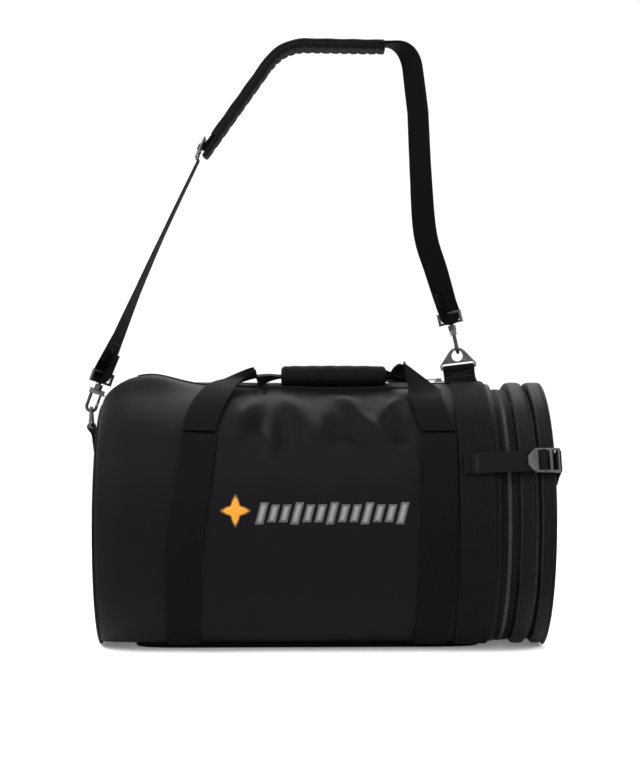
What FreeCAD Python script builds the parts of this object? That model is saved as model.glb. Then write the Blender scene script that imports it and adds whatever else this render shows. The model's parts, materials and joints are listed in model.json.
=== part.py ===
"""Telescope carry case: a padded cylinder bag with a zipped mouth, an expanding end,
carry handles and a shoulder strap.

Frame: +X along the case towards its expanding end, +Y to the back, +Z up, in millimetres.
The origin is the middle of the base, on the surface that the case stands on.
"""

import FreeCAD, Part
import math
import os
import Sketcher
from FreeCAD import Placement, Rotation, Vector

OUT = "parts"

SIZES = {
    # the case wall: an outer skin, foam and a lining, glued with a small gap between them
    "shell_r": 206,
    "base_sink": 8,
    "axis_z": "=shell_r - base_sink",
    "flat_z": 4,
    "skin_t": 1.6,
    "foam_t": 12,
    "lining_t": 1,
    "layer_gap": 0.2,
    "clearance": 0.4,
    # lengths along the case, from the closed left end to the expanding end
    "left_x": -338,
    "cone_len": 48,
    "cone_taper": 21,
    "cone_r": "=shell_r - cone_taper",
    "cone_fall": 14,
    "cone_axis_z": "=axis_z - cone_fall",
    "body_len": 600,
    "zip_one_w": 27,
    "mid_len": 23,
    "zip_two_w": 8,
    "end_len": 21,
    "dome_h": 12,
    "piping_h": 3,
    # the mouth on top, closed by two flaps that meet at the main zip
    "mouth_margin": 5,
    "mouth_x": "=left_x + cone_len + mouth_margin",
    "mouth_len": 457,
    "mouth_half": 50,
    "zip_half": 13,
    "tape_t": 1,
    "coil_w": 2.6,
    "coil_h": 2.2,
    "stop_len": 24,
    # the base panel and the webbing bands
    "base_x": "=mouth_x",
    "base_margin": 17,
    "base_len": "=left_x + body_len - base_margin - base_x",
    "base_half": 78,
    "base_t": 3.4,
    "band_foot": 156,
    "web_w": 50,
    "web_t": 2.2,
    "left_band_in": 135,
    "left_band_x": "=left_x + left_band_in",
    "anchor_gap": 9.5,
    "band_gap": 4.5,
    "anchor_x": "=left_x + body_len - anchor_gap - web_w / 2",
    "right_band_x": "=anchor_x - web_w - band_gap",
    # carry handles and their grip
    "handle_gap": 0.8,
    "handle_foot": 48,
    "handle_lift": 24,
    "handle_lean": 42,
    "handle_peak": 16,
    "bar_w": 24,
    "bar_y": 11,
    "bar_rise": 7,
    "bar_z": "=axis_z + shell_r + bar_rise",
    "bar_t": 5,
    "grip_shift": 42,
    "grip_x": "=(left_band_x + right_band_x) / 2 - grip_shift",
    "grip_len": 155,
    "grip_r": 14.5,
    "grip_cut": 7,
    "grip_cover_t": 1.6,
    # expansion gussets and zips round the case
    "tape_one_in": 12,
    "tape_one_r": "=shell_r - tape_one_in",
    "tape_two_in": 14,
    "tape_two_r": "=shell_r - tape_two_in",
    "gusset_depth": 23.5,
    "gusset_in": "=shell_r - gusset_depth",
    "gusset_t": 8,
    # compression straps over the expanding end
    "strap_turn": 64.5,
    "strap_w": 32,
    "strap_web_t": 2,
    "strap_lift": 1.4,
    "strap_r": "=shell_r + web_t + strap_lift",
    "load_in": 17.5,
    "load_x": "=anchor_x - load_in",
    "lock_in": 6,
    "web_reach": 2,
    "lock_x": "=left_x + body_len + zip_one_w + mid_len + zip_two_w - lock_in",
    "load_len": "=lock_x + web_reach - load_x",
    "tail_step": 8,
    "tail_x": "=load_x + tail_step",
    "tail_len": "=lock_x - web_reach - tail_x",
    # ladder-lock buckle
    "lock_len": 31,
    "lock_w": 38,
    "lock_t": 3.5,
    "lock_thumb_r": 12,
    "lock_rail": 3,
    "lock_bar_r": 2,
    "lock_gap": 2.5,
    "lock_bar_x": "=lock_x + lock_len + lock_gap",
    "lock_loop_t": 2.2,
    "lock_fit": 0.3,
    "strip_len": 56,
    "lock_strip_r": "=shell_r - strip_len",
    # triangular strap rings
    "ring_rim": 3.2,
    "ring_half": "=web_w / 2 + ring_rim",
    "ring_room": 0.5,
    "ring_slot": "=web_w / 2 + ring_room",
    "ring_top": 31,
    "ring_t": 4,
    "ring_eye_z": 18.5,
    "ring_eye_r": 8.8,
    "ring_bar_r": 2.2,
    "ring_fit": 0.3,
    # snap hooks
    "hook_wire_r": 2.5,
    "hook_bend_r": 7.5,
    "hook_drop": 5,
    "hook_arm": 28,
    "hook_collar_r": 6,
    "hook_top": 44,
    "hook_post_r": 2.25,
    "hook_fit": 0.06,
    "gate_r": 2,
    "gate_boss_r": 3.2,
    "gate_pin_r": 1.2,
    # shoulder strap
    "sling_w": 38,
    "sling_t": 2.2,
    "pad_w": 62,
    "pad_t": 10,
    "pad_gap": 0.4,
    "sleeve_t": 1.4,
    "sleeve_start": 24,
    "loop_wire": 3.6,
    "loop_h": 19,
    "glide_len": 36,
    "glide_t": 3,
    # strap ring places
    "ring_edge": 69,
    "right_ring_x": "=left_x + body_len - ring_edge + web_w / 2",
    "ring_rise": 25,
    "right_ring_z": "=axis_z + shell_r + ring_rise",
    "ring_out": 20,
    "left_ring_x": "=left_x - ring_out",
    "ring_drop": 32,
    "left_tab_drop": 53,
    "left_ring_z": "=cone_axis_z + cone_r - ring_drop",
}

# Places that follow from the sizes, as expressions of the sheet.
BODY_END = "dim.left_x + dim.body_len"
CONE_END = "dim.left_x + dim.cone_len"
MID_X = BODY_END + " + dim.zip_one_w"
MID_END = MID_X + " + dim.mid_len"
END_X = MID_END + " + dim.zip_two_w"
END_END = END_X + " + dim.end_len"
FOAM_OUT = "dim.skin_t + dim.layer_gap"
FOAM_IN = FOAM_OUT + " + dim.foam_t"
LINING_OUT = FOAM_IN + " + dim.layer_gap"
LINING_IN = LINING_OUT + " + dim.lining_t"
BAND_OUT = "-dim.layer_gap - dim.web_t"
BAND_IN = "-dim.layer_gap"

doc = FreeCAD.newDocument("carry_case")
dim = doc.addObject("Spreadsheet::Sheet", "dim")
kept = []


def fill_sheet():
    for row, (alias, number) in enumerate(SIZES.items(), 1):
        dim.set(f"A{row}", alias)
        dim.set(f"B{row}", str(number))
        dim.setAlias(f"B{row}", alias)
    doc.recompute()


def value(expression):
    """The number that an expression of the sheet's cells gives now."""
    return float(dim.evalExpression(str(expression).replace("dim.", "")))


def keep(item, label):
    """Marks an object as a sub-part, under the name that its file gets."""
    item.Label = label
    kept.append(item)
    return item


# ---- sketches and PartDesign features ----


def new_body(name):
    return doc.addObject("PartDesign::Body", name + "_body")


def sketch_on(body, plane, offset="0"):
    """A sketch on one of the body's own origin planes, moved along the plane's normal."""
    sketch = body.newObject("Sketcher::SketchObject", body.Name + "_sketch")
    role = {feature.Role: feature for feature in body.Origin.OriginFeatures}
    sketch.AttachmentSupport = [(role[plane], "")]
    sketch.MapMode = "FlatFace"
    sketch.setExpression("AttachmentOffset.Base.z", offset)
    return sketch


def rule(sketch, expression, kind, *where):
    """A sized constraint that follows an expression of the sheet."""
    number = sketch.addConstraint(Sketcher.Constraint(kind, *where, value(expression)))
    sketch.setExpression(f"Constraints[{number}]", expression)


def join(sketch, first, first_end, second, second_end):
    sketch.addConstraint(Sketcher.Constraint("Coincident", first, first_end, second, second_end))


def d_loop(sketch, radius, axis_z, flat):
    """A circle round the case's axis, cut flat at the bottom."""
    r, z, floor = value(radius), value(axis_z), value(flat)
    a = math.asin((z - floor) / r)
    half = r * math.cos(a)
    round_part = Part.ArcOfCircle(Part.Circle(Vector(0, z, 0), Vector(0, 0, 1), r), -a, math.pi + a)
    arc = sketch.addGeometry(round_part)
    line = sketch.addGeometry(Part.LineSegment(Vector(-half, floor, 0), Vector(half, floor, 0)))
    join(sketch, arc, 2, line, 1)
    join(sketch, arc, 1, line, 2)
    sketch.addConstraint(Sketcher.Constraint("PointOnObject", arc, 3, -2))
    sketch.addConstraint(Sketcher.Constraint("Horizontal", line))
    rule(sketch, radius, "Radius", arc)
    rule(sketch, axis_z, "DistanceY", -1, 1, arc, 3)
    rule(sketch, flat, "DistanceY", -1, 1, line, 1)


def sector_loop(sketch, outer, inner, start, end):
    """Part of a ring round the case's axis, from start to end degrees from the top towards the front."""
    z = value("dim.axis_z")
    turns = [math.radians(90 + value(a)) for a in (start, end)]
    arcs, lines = [], []
    for radius in (outer, inner):
        circle = Part.Circle(Vector(0, z, 0), Vector(0, 0, 1), value(radius))
        arcs.append(sketch.addGeometry(Part.ArcOfCircle(circle, *turns)))
    for turn in turns:
        ends = [Vector(r * math.cos(turn), z + r * math.sin(turn), 0) for r in map(value, (inner, outer))]
        lines.append(sketch.addGeometry(Part.LineSegment(*ends)))
    for line, arc_end in zip(lines, (1, 2)):
        join(sketch, line, 1, arcs[1], arc_end)
        join(sketch, line, 2, arcs[0], arc_end)
        sketch.addConstraint(Sketcher.Constraint("PointOnObject", arcs[0], 3, line))
    sketch.addConstraint(Sketcher.Constraint("PointOnObject", arcs[0], 3, -2))
    join(sketch, arcs[0], 3, arcs[1], 3)
    rule(sketch, "dim.axis_z", "DistanceY", -1, 1, arcs[0], 3)
    rule(sketch, outer, "Radius", arcs[0])
    rule(sketch, inner, "Radius", arcs[1])
    for line, turn in zip(lines, (start, end)):
        number = sketch.addConstraint(Sketcher.Constraint("Angle", line, math.radians(90 + value(turn))))
        sketch.setExpression(f"Constraints[{number}]", f"(90 + {turn}) * 1 deg")


def polygon_loop(sketch, points):
    """A closed polygon whose corners follow pairs of expressions."""
    spots = [Vector(value(x), value(y), 0) for x, y in points]
    edges = [
        sketch.addGeometry(Part.LineSegment(spot, spots[(n + 1) % len(spots)]))
        for n, spot in enumerate(spots)
    ]
    for n, (x, y) in enumerate(points):
        join(sketch, edges[n - 1], 2, edges[n], 1)
        rule(sketch, x, "DistanceX", -1, 1, edges[n], 1)
        rule(sketch, y, "DistanceY", -1, 1, edges[n], 1)


def circle_loop(sketch, x, y, radius):
    circle = sketch.addGeometry(Part.Circle(Vector(value(x), value(y), 0), Vector(0, 0, 1), value(radius)))
    rule(sketch, x, "DistanceX", -1, 1, circle, 3)
    rule(sketch, y, "DistanceY", -1, 1, circle, 3)
    rule(sketch, radius, "Radius", circle)


def pad(body, sketch, length, both_ways=False):
    doc.recompute()
    feature = body.newObject("PartDesign::Pad", body.Name + "_pad")
    feature.Profile = sketch
    feature.setExpression("Length", length)
    feature.Midplane = both_ways
    doc.recompute()
    return feature


def pocket(body, sketch, length, both_ways=False, forwards=False):
    """A cut against the sketch's normal, or along it when forwards. It has to take material away."""
    before = body.Shape.Volume
    doc.recompute()
    feature = body.newObject("PartDesign::Pocket", body.Name + "_pocket")
    feature.Profile = sketch
    feature.setExpression("Length", length)
    feature.Midplane = both_ways
    feature.Reversed = forwards
    doc.recompute()
    if body.Shape.Volume > before - 1e-6:
        raise SystemExit(f"the pocket in {body.Name} cuts nothing")
    return feature


def loft(body, kind, sketches):
    doc.recompute()
    feature = body.newObject(f"PartDesign::{kind}Loft", body.Name + "_loft")
    feature.Profile = sketches[0]
    feature.Sections = sketches[1:]
    feature.Ruled = True
    doc.recompute()
    return feature


# ---- Part primitives and booleans ----


def solid(kind, name, turn=None, **sizes):
    """A Part primitive whose sizes and place follow expressions, turned about its own origin."""
    item = doc.addObject("Part::" + kind, name)
    if turn is not None:
        item.Placement = Placement(Vector(), turn)
    for size, expression in sizes.items():
        path = "Placement.Base." + size if size in ("x", "y", "z") else size
        item.setExpression(path, str(expression))
    return item


def boolean(kind, name, first, second):
    item = doc.addObject("Part::" + kind, name)
    item.Base = first
    item.Tool = second
    return item


def fused(name, items):
    item = doc.addObject("Part::MultiFuse", name)
    item.Shapes = items
    return item


def grouped(name, items):
    item = doc.addObject("Part::Compound", name)
    item.Links = items
    return item


ALONG_X = Rotation(Vector(0, 1, 0), 90)
ALONG_Y = Rotation(Vector(1, 0, 0), -90)
FRONT_SIDE = 1
BACK_SIDE = -1


def round_case(turn, r="0", x="0"):
    """The place of a piece modelled on top, turned about the case's axis towards the front."""
    spin = Rotation(Vector(1, 0, 0), value(turn))
    centre = Vector(value(x), 0, value("dim.axis_z"))
    return Placement(centre + spin.multVec(Vector(0, 0, value(r))), spin)


# ---- the case wall ----


def d_ring(name, x, length, depth_out, depth_in):
    """A ring round the case, between two depths under the outer surface."""
    body = new_body(name)
    sketch = sketch_on(body, "YZ_Plane", x)
    for depth in (depth_out, depth_in):
        d_loop(sketch, f"dim.shell_r - ({depth})", "dim.axis_z", f"dim.flat_z + ({depth})")
    pad(body, sketch, length)
    return body


def sector(name, x, length, depth_out, depth_in, start, end):
    body = new_body(name)
    sketch = sketch_on(body, "YZ_Plane", x)
    sector_loop(sketch, f"dim.shell_r - ({depth_out})", f"dim.shell_r - ({depth_in})", start, end)
    pad(body, sketch, length)
    return body


def mirrored_turns(side, start, end):
    """Start and end angles on the front (1) or the back (-1)."""
    return (start, end) if side == FRONT_SIDE else (f"-({end})", f"-({start})")


def wall_layer(label, depth_out, depth_in, inset):
    """One layer of the case wall: narrower towards the left end, with the mouth cut out."""
    body = new_body(label)
    start = f"dim.left_x + {inset}"

    def end_sketch(depth):
        sketch = sketch_on(body, "YZ_Plane", start)
        d_loop(sketch, f"dim.cone_r - ({depth})", "dim.cone_axis_z", f"dim.flat_z + ({depth})")
        return sketch

    def full_sketch(depth, x=CONE_END):
        sketch = sketch_on(body, "YZ_Plane", x)
        d_loop(sketch, f"dim.shell_r - ({depth})", "dim.axis_z", f"dim.flat_z + ({depth})")
        return sketch

    loft(body, "Additive", [end_sketch(depth_out), full_sketch(depth_out)])
    pad(body, full_sketch(depth_out), "dim.body_len - dim.cone_len")
    loft(body, "Subtractive", [end_sketch(depth_in), full_sketch(depth_in)])
    pocket(body, full_sketch(depth_in), "dim.body_len - dim.cone_len", forwards=True)
    mouth = sketch_on(body, "YZ_Plane", "dim.mouth_x")
    reach = "2 * dim.shell_r"
    side_y = f"{reach} * sin((dim.mouth_half) * 1 deg)"
    side_z = f"dim.axis_z + {reach} * cos((dim.mouth_half) * 1 deg)"
    top_z = f"dim.axis_z + {reach}"
    polygon_loop(
        mouth,
        [
            ("0", "dim.axis_z"),
            (side_y, side_z),
            (side_y, top_z),
            (f"-({side_y})", top_z),
            (f"-({side_y})", side_z),
        ],
    )
    pocket(body, mouth, "dim.mouth_len", forwards=True)
    return keep(body, label)


def end_dome(label, depth_out, depth_in, x, outward, radius, axis_z, rim):
    """A slightly domed round end panel, flat at the bottom, between two depths under its outer face."""
    sphere_r = f"(({radius})^2 + dim.dome_h^2) / (2 * dim.dome_h)"
    apex = f"{x} + {outward} * dim.dome_h"
    centre = f"{apex} - {outward} * {sphere_r}"
    disc_x = f"{x} - {outward} * {rim}" if outward > 0 else apex
    disc_len = f"dim.dome_h + {rim}"
    disc_r = f"{radius} - dim.skin_t - dim.layer_gap" if depth_out != "0" else radius
    disc = solid("Cylinder", label + "_disc", ALONG_X, Radius=disc_r, Height=disc_len, x=disc_x, z=axis_z)
    outer = solid("Sphere", label + "_outer", Radius=f"{sphere_r} - ({depth_out})", x=centre, z=axis_z)
    floor = f"dim.flat_z + ({depth_out})"
    above = solid(
        "Box",
        label + "_above",
        Length=disc_len,
        Width="4 * dim.shell_r",
        Height="4 * dim.shell_r",
        x=disc_x,
        y="-2 * dim.shell_r",
        z=floor,
    )
    body = boolean("Common", label + "_round", boolean("Common", label + "_cap", disc, outer), above)
    if depth_in:
        inner = solid("Sphere", label + "_inner", Radius=f"{sphere_r} - ({depth_in})", x=centre, z=axis_z)
        body = boolean("Cut", label + "_panel", body, inner)
    return keep(body, label)


def end_lining(label, x, axis_z, radius):
    """A flat disc of lining cloth on the inside of an end."""
    body = new_body(label)
    sketch = sketch_on(body, "YZ_Plane", x)
    d_loop(sketch, radius, axis_z, f"dim.flat_z + {FOAM_OUT}")
    pad(body, sketch, "dim.lining_t")
    return keep(body, label)


def case_wall():
    end_inset = "dim.foam_t + dim.layer_gap"
    wall_layer("case_skin", "0", "dim.skin_t", "0")
    wall_layer("case_foam", FOAM_OUT, FOAM_IN, f"({end_inset} + dim.lining_t + 2 * dim.layer_gap)")
    wall_layer("case_lining", LINING_OUT, LINING_IN, f"({end_inset} + dim.lining_t + 2 * dim.layer_gap)")
    left_r = "dim.cone_r - dim.skin_t - dim.layer_gap"
    end_dome("left_end_skin", "0", "dim.skin_t", "dim.left_x", -1, "dim.cone_r", "dim.cone_axis_z", "0")
    end_dome("left_end_foam", FOAM_OUT, "", "dim.left_x", -1, "dim.cone_r", "dim.cone_axis_z", "dim.foam_t")
    end_lining("left_end_lining", "dim.left_x + dim.foam_t + dim.layer_gap", "dim.cone_axis_z", left_r)


def end_cap():
    end_dome("end_panel_skin", "0", "dim.skin_t", END_END, 1, "dim.shell_r", "dim.axis_z", "0")
    end_dome("end_panel_foam", FOAM_OUT, "", END_END, 1, "dim.shell_r", "dim.axis_z", "dim.foam_t")
    inside = f"{END_END} - dim.foam_t - dim.layer_gap - dim.lining_t"
    end_lining("end_panel_lining", inside, "dim.axis_z", f"dim.shell_r - ({FOAM_OUT})")
    keep(d_ring("end_ring_skin", END_X, "dim.end_len", "0", "dim.skin_t"), "end_ring_skin")


def middle_ring():
    keep(d_ring("middle_ring_skin", MID_X, "dim.mid_len", "0", "dim.skin_t"), "middle_ring_skin")
    keep(d_ring("middle_ring_foam", MID_X, "dim.mid_len", FOAM_OUT, LINING_IN), "middle_ring_foam")


def pipings():
    """Corded edges: at the left end of the case, round its rim beside the first zip, and on the end cap."""
    width = "2 * dim.piping_h"
    left = new_body("left_piping")
    sketch = sketch_on(left, "YZ_Plane", "dim.left_x - dim.piping_h")
    for out in ("dim.piping_h", "dim.layer_gap"):
        d_loop(sketch, f"dim.cone_r + {out}", "dim.cone_axis_z", f"dim.flat_z - {out}")
    pad(left, sketch, "dim.piping_h")
    rim = d_ring("rim_piping", f"{BODY_END} - {width}", width, "-dim.piping_h", "-dim.layer_gap")
    keep(grouped("case_pipings", [left, rim]), "case_pipings")
    end_x = f"{END_END} - {width}"
    keep(d_ring("end_piping", end_x, width, "-dim.piping_h", "-dim.layer_gap"), "end_piping")


# ---- flaps, main zip and handles ----


def zip_half(label, side):
    """Half of the main zip: a tape along a flap's edge and a row of coil beside the middle."""
    height = "dim.axis_z + dim.shell_r - dim.tape_t - dim.skin_t"
    tape_in, tape_w = "0.2", "dim.zip_half - 0.4"
    coil_in = "0.3"
    near_tape = tape_in if side == BACK_SIDE else f"-({tape_in} + {tape_w})"
    near_coil = coil_in if side == BACK_SIDE else f"-({coil_in} + dim.coil_w)"
    inside = "dim.mouth_x + dim.clearance"
    length = "dim.mouth_len - 2 * dim.clearance"
    tape = solid(
        "Box", label + "_tape", Length=length, Width=tape_w, Height="dim.tape_t",
        x=inside, y=near_tape, z=height,
    )
    coil = solid(
        "Box",
        label + "_coil",
        Length=length,
        Width="dim.coil_w",
        Height="dim.coil_h",
        x=inside,
        y=near_coil,
        z=f"{height} + dim.tape_t",
    )
    return keep(fused(label, [tape, coil]), label)


def flap(name, side):
    """Part of the wall that folds outwards along its lower edge, with its layers and its half of the zip."""
    inside = "dim.mouth_x + dim.clearance"
    length = "dim.mouth_len - 2 * dim.clearance"
    zip_turn = "asin(dim.zip_half / (dim.shell_r - dim.skin_t - dim.foam_t - dim.lining_t)) / 1 deg"
    low = "dim.mouth_half - 0.25"
    start, end = mirrored_turns(side, zip_turn, low)
    layers = {"skin": ("0", "dim.skin_t"), "foam": (FOAM_OUT, FOAM_IN), "lining": (LINING_OUT, LINING_IN)}
    for layer, (depth_out, depth_in) in layers.items():
        label = f"{name}_flap_{layer}"
        keep(sector(label, inside, length, depth_out, depth_in, start, end), label)
    zip_half(f"{name}_zip_half", side)


def zip_ends():
    """The fixed ends of the main zip, where its slider is parked, sewn on each side of the mouth."""
    height = "dim.axis_z + dim.shell_r + dim.layer_gap"
    places = {
        "left": "dim.mouth_x - dim.stop_len - dim.clearance",
        "right": "dim.mouth_x + dim.mouth_len + dim.clearance",
    }
    ends = [
        solid(
            "Box",
            f"zip_end_{side}",
            Length="dim.stop_len",
            Width="2 * dim.zip_half",
            Height="dim.tape_t",
            x=x,
            y="-dim.zip_half",
            z=height,
        )
        for side, x in places.items()
    ]
    keep(grouped("zip_end_patches", ends), "zip_end_patches")


def zip_slider(name, place, width, puller_w):
    """A slider that rides over the coil, and the puller that hangs in its bridge; it travels along local x."""
    plate = solid(
        "Box", name + "_plate", Length=14, Width=width, Height=2.4,
        x=-7, y=f"-({width}) / 2", z="dim.clearance",
    )
    bridge = solid("Box", name + "_bridge", Length=8, Width=3, Height=4, x=-4, y=-1.5, z=2.6)
    hole = solid("Cylinder", name + "_hole", ALONG_Y, Radius=1.4, Height=6, y=-3, z=4.4)
    slider = boolean("Cut", name + "_slider", fused(name + "_whole", [plate, bridge]), hole)
    slider.Placement = place
    keep(slider, name + "_slider")
    arm_w = f"({puller_w}) / 2 - 1.9"
    near = f"-({puller_w}) / 2"
    pin = solid("Cylinder", name + "_pin", ALONG_Y, Radius=1.1, Height=puller_w, y=near, z=4.4)
    arms = [
        solid("Box", f"{name}_arm_{n}", Length=7.1, Width=arm_w, Height=1.8, x=-6, y=y, z=3.5)
        for n, y in enumerate(("1.9", f"-({puller_w}) / 2"))
    ]
    tab = solid("Box", name + "_tab", Length=26, Width=puller_w, Height=1.8, x=-31, y=near, z=3.5)
    puller = fused(name + "_puller", [pin, *arms, tab])
    puller.Placement = place
    keep(puller, name + "_puller")


def over_shoulder(turn, side, x):
    """The middle of a handle's web on a flap, at a turn in degrees from the top, and its up direction."""
    angle = math.radians(turn)
    up = Vector(0, -side * math.sin(angle), math.cos(angle))
    radius = value("dim.shell_r + dim.handle_gap + dim.web_t / 2")
    return Vector(x, 0, value("dim.axis_z")) + up * radius, up


def rectangle(spot, along, up, width, thickness):
    signs = ((-1, -1), (1, -1), (1, 1), (-1, 1), (-1, -1))
    return Part.makePolygon([spot + along * (a * width / 2) + up * (b * thickness / 2) for a, b in signs])


def handle_leg(side, x, lean, top_z):
    """Webbing that lies on the flap, then rises straight to the handle's bar, leaning along the case."""
    foot, lift = value("dim.handle_foot"), value("dim.handle_lift")
    width, web = value("dim.web_w"), value("dim.web_t")
    turns = [foot, (2 * foot + lift) / 3, (foot + 2 * lift) / 3, lift]
    along = Vector(1, 0, 0)
    sections = []
    for n, turn in enumerate(turns):
        spot, up = over_shoulder(turn, side, x + lean * n / 4)
        sections.append(rectangle(spot, along, up, width, web))
    lying = Part.makeLoft(sections, True, False)
    last, up = over_shoulder(lift, side, x + lean * 0.75)
    top = Vector(x + lean, -side * value("dim.bar_y + dim.bar_w / 2"), top_z)
    rise = (top - last).normalize()
    slant = Vector(0, -rise.z, rise.y) * (1 if rise.y > 0 else -1)
    ends = [rectangle(last, along, up, width, web), rectangle(top, along, slant, width, web)]
    return lying.fuse(Part.makeLoft(ends, True, True))


def handle(name, side):
    """Webbing from one band over the flap to a folded bar on top, and back down to the other band."""
    lean, peak = value("dim.handle_lean"), value("dim.handle_peak") if side == FRONT_SIDE else 0
    left_x, right_x = value("dim.left_band_x"), value("dim.right_band_x")
    width, thick = value("dim.bar_w"), value("dim.bar_t")
    low = value("dim.bar_z")
    middle = Vector(0, -side * value("dim.bar_y + dim.bar_w / 2"), low + thick / 2)
    left_top, right_top = left_x + lean, right_x - lean
    legs = [handle_leg(side, left_x, lean, middle.z), handle_leg(side, right_x, -lean, middle.z + peak)]
    fold_x = value("dim.grip_x + dim.grip_len") + 4
    bar = Part.makeBox(fold_x - left_top, width, thick, Vector(left_top, middle.y - width / 2, low))
    across, up = Vector(0, 1, 0), Vector(0, 0, 1)
    spots = [Vector(fold_x - 1, middle.y, middle.z), Vector(right_top, middle.y, middle.z + peak)]
    fold = Part.makeLoft([rectangle(spot, across, up, width, thick) for spot in spots], True, True)
    label = name + "_handle_web"
    shape_part(label, legs[0].fuse([legs[1], bar, fold]))


def grip():
    """A padded wrap round the front handle, and the closing flap that is held by hook and loop."""
    y = "-dim.bar_y - dim.bar_w / 2"
    z = "dim.bar_z + dim.bar_t / 2"
    spot = {"x": "dim.grip_x", "y": y, "z": z}
    core = solid("Cylinder", "grip_core", ALONG_X, Radius="dim.grip_r", Height="dim.grip_len", **spot)
    above = solid(
        "Box",
        "grip_above",
        Length="dim.grip_len",
        Width="2 * dim.grip_r",
        Height="2 * dim.grip_r",
        x="dim.grip_x",
        y=f"{y} - dim.grip_r",
        z=f"{z} - dim.grip_cut",
    )
    slot = solid(
        "Box",
        "grip_slot",
        Length="dim.grip_len + 2",
        Width="dim.bar_w + 0.6",
        Height="dim.bar_t + 0.6",
        x="dim.grip_x - 1",
        y=f"{y} - dim.bar_w / 2 - 0.3",
        z="dim.bar_z - 0.3",
    )
    body = boolean("Common", "grip_body", core, above)
    keep(boolean("Cut", "grip_pad", body, slot), "grip_pad")
    outer = solid(
        "Cylinder",
        "grip_cover_outer",
        ALONG_X,
        Radius="dim.grip_r + dim.clearance + dim.grip_cover_t",
        Height="dim.grip_len - 10",
        Angle="80",
        x="dim.grip_x + 5",
        y=y,
        z=z,
    )
    inner = solid(
        "Cylinder",
        "grip_cover_inner",
        ALONG_X,
        Radius="dim.grip_r + dim.clearance",
        Height="dim.grip_len",
        Angle="90",
        x="dim.grip_x",
        y=y,
        z=z,
    )
    # a Part cylinder's sector starts downwards and runs to the back; turn it to the upper front
    for item, lead in ((outer, 184), (inner, 182)):
        item.Placement = Placement(item.Placement.Base, ALONG_X * Rotation(Vector(0, 0, 1), lead))
    keep(boolean("Cut", "grip_flap", outer, inner), "grip_flap")


# ---- expansion zips and gussets ----


def tube_ring(name, x, length, outer, inner):
    body = new_body(name)
    sketch = sketch_on(body, "YZ_Plane", x)
    for radius in (outer, inner):
        circle_loop(sketch, "0", "dim.axis_z", radius)
    pad(body, sketch, length)
    return body


def ring_zip(number, x, width, radius, owners):
    """Two tapes with a row of coil each, round the case, one on each side of the gap."""
    middle = f"{x} + ({width}) / 2"
    tape_w = f"({width}) / 2 - 0.3"
    sides = {
        owners[0]: (f"{x} + 0.1", f"{middle} - 0.25 - dim.coil_w"),
        owners[1]: (f"{middle} + 0.2", f"{middle} + 0.25"),
    }
    for owner, (tape_x, coil_x) in sides.items():
        label = f"zip_{number}_{owner}_half"
        tape = tube_ring(label + "_tape", tape_x, tape_w, f"{radius} + dim.tape_t", radius)
        coil_out = f"{radius} + dim.tape_t + dim.coil_h"
        coil = tube_ring(label + "_coil", coil_x, "dim.coil_w", coil_out, f"{radius} + dim.tape_t - 0.05")
        keep(fused(label, [tape, coil]), label)


def expansion():
    ring_zip("one", BODY_END, "dim.zip_one_w", "dim.tape_one_r", ("case", "middle"))
    ring_zip("two", MID_END, "dim.zip_two_w", "dim.tape_two_r", ("middle", "end"))
    gusset_out = "dim.gusset_in + dim.gusset_t"
    one = tube_ring("gusset_one", f"{BODY_END} + 1", "dim.zip_one_w - 2", gusset_out, "dim.gusset_in")
    keep(one, "gusset_one")
    two_start, two_length = f"{MID_END} + dim.clearance", "dim.zip_two_w - 2 * dim.clearance"
    two = tube_ring("gusset_two", two_start, two_length, gusset_out, "dim.gusset_in")
    keep(two, "gusset_two")


# ---- bands, base and tabs ----


def bands():
    pieces = []
    for spot in ("left", "right"):
        for side in (FRONT_SIDE, BACK_SIDE):
            start, end = mirrored_turns(side, "dim.mouth_half + 1.5", "dim.band_foot")
            name = f"{spot}_band_{'front' if side == FRONT_SIDE else 'back'}"
            x = f"dim.{spot}_band_x - dim.web_w / 2"
            pieces.append(sector(name, x, "dim.web_w", BAND_OUT, BAND_IN, start, end))
    keep(grouped("handle_bands", pieces), "handle_bands")
    ring = sector(
        "anchor_band",
        "dim.anchor_x - dim.web_w / 2",
        "dim.web_w",
        BAND_OUT,
        BAND_IN,
        "-dim.band_foot",
        "dim.band_foot",
    )
    keep(ring, "anchor_band")


def base_panel():
    """A tougher panel under the case, with rounded corners, that it stands on."""
    body = new_body("base_panel")
    sketch = sketch_on(body, "XY_Plane")
    low_x, high_x = "dim.base_x", "dim.base_x + dim.base_len"
    polygon_loop(
        sketch,
        [
            (low_x, "-dim.base_half"),
            (high_x, "-dim.base_half"),
            (high_x, "dim.base_half"),
            (low_x, "dim.base_half"),
        ],
    )
    plate = pad(body, sketch, "dim.base_t")
    upright = [
        f"Edge{n}"
        for n, edge in enumerate(plate.Shape.Edges, 1)
        if abs(edge.Vertexes[0].Z - edge.Vertexes[-1].Z) > value("dim.base_t") / 2
    ]
    corners = body.newObject("PartDesign::Fillet", "base_corners")
    corners.Base = (plate, upright)
    corners.setExpression("Radius", "dim.base_half / 4")
    doc.recompute()
    keep(body, "base_panel")


def swing_tilt():
    """How far the shoulder strap's swing axis rises from the left ring to the right one, in degrees."""
    rise = value("dim.right_ring_z - (dim.left_ring_z + dim.ring_eye_z + dim.hook_drop)")
    return math.degrees(math.atan2(rise, value("dim.right_ring_x - dim.left_ring_x")))


def ring_place(side):
    """Where a strap ring's bar is: its local x is along the bar and its local z towards the eye."""
    spot = Vector(value(f"dim.{side}_ring_x"), 0, value(f"dim.{side}_ring_z"))
    if side == "right":
        return Placement(spot, Rotation(Vector(0, 1, 0), -swing_tilt()))
    return Placement(spot, Rotation(Vector(0, 0, 1), 90))


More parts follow.
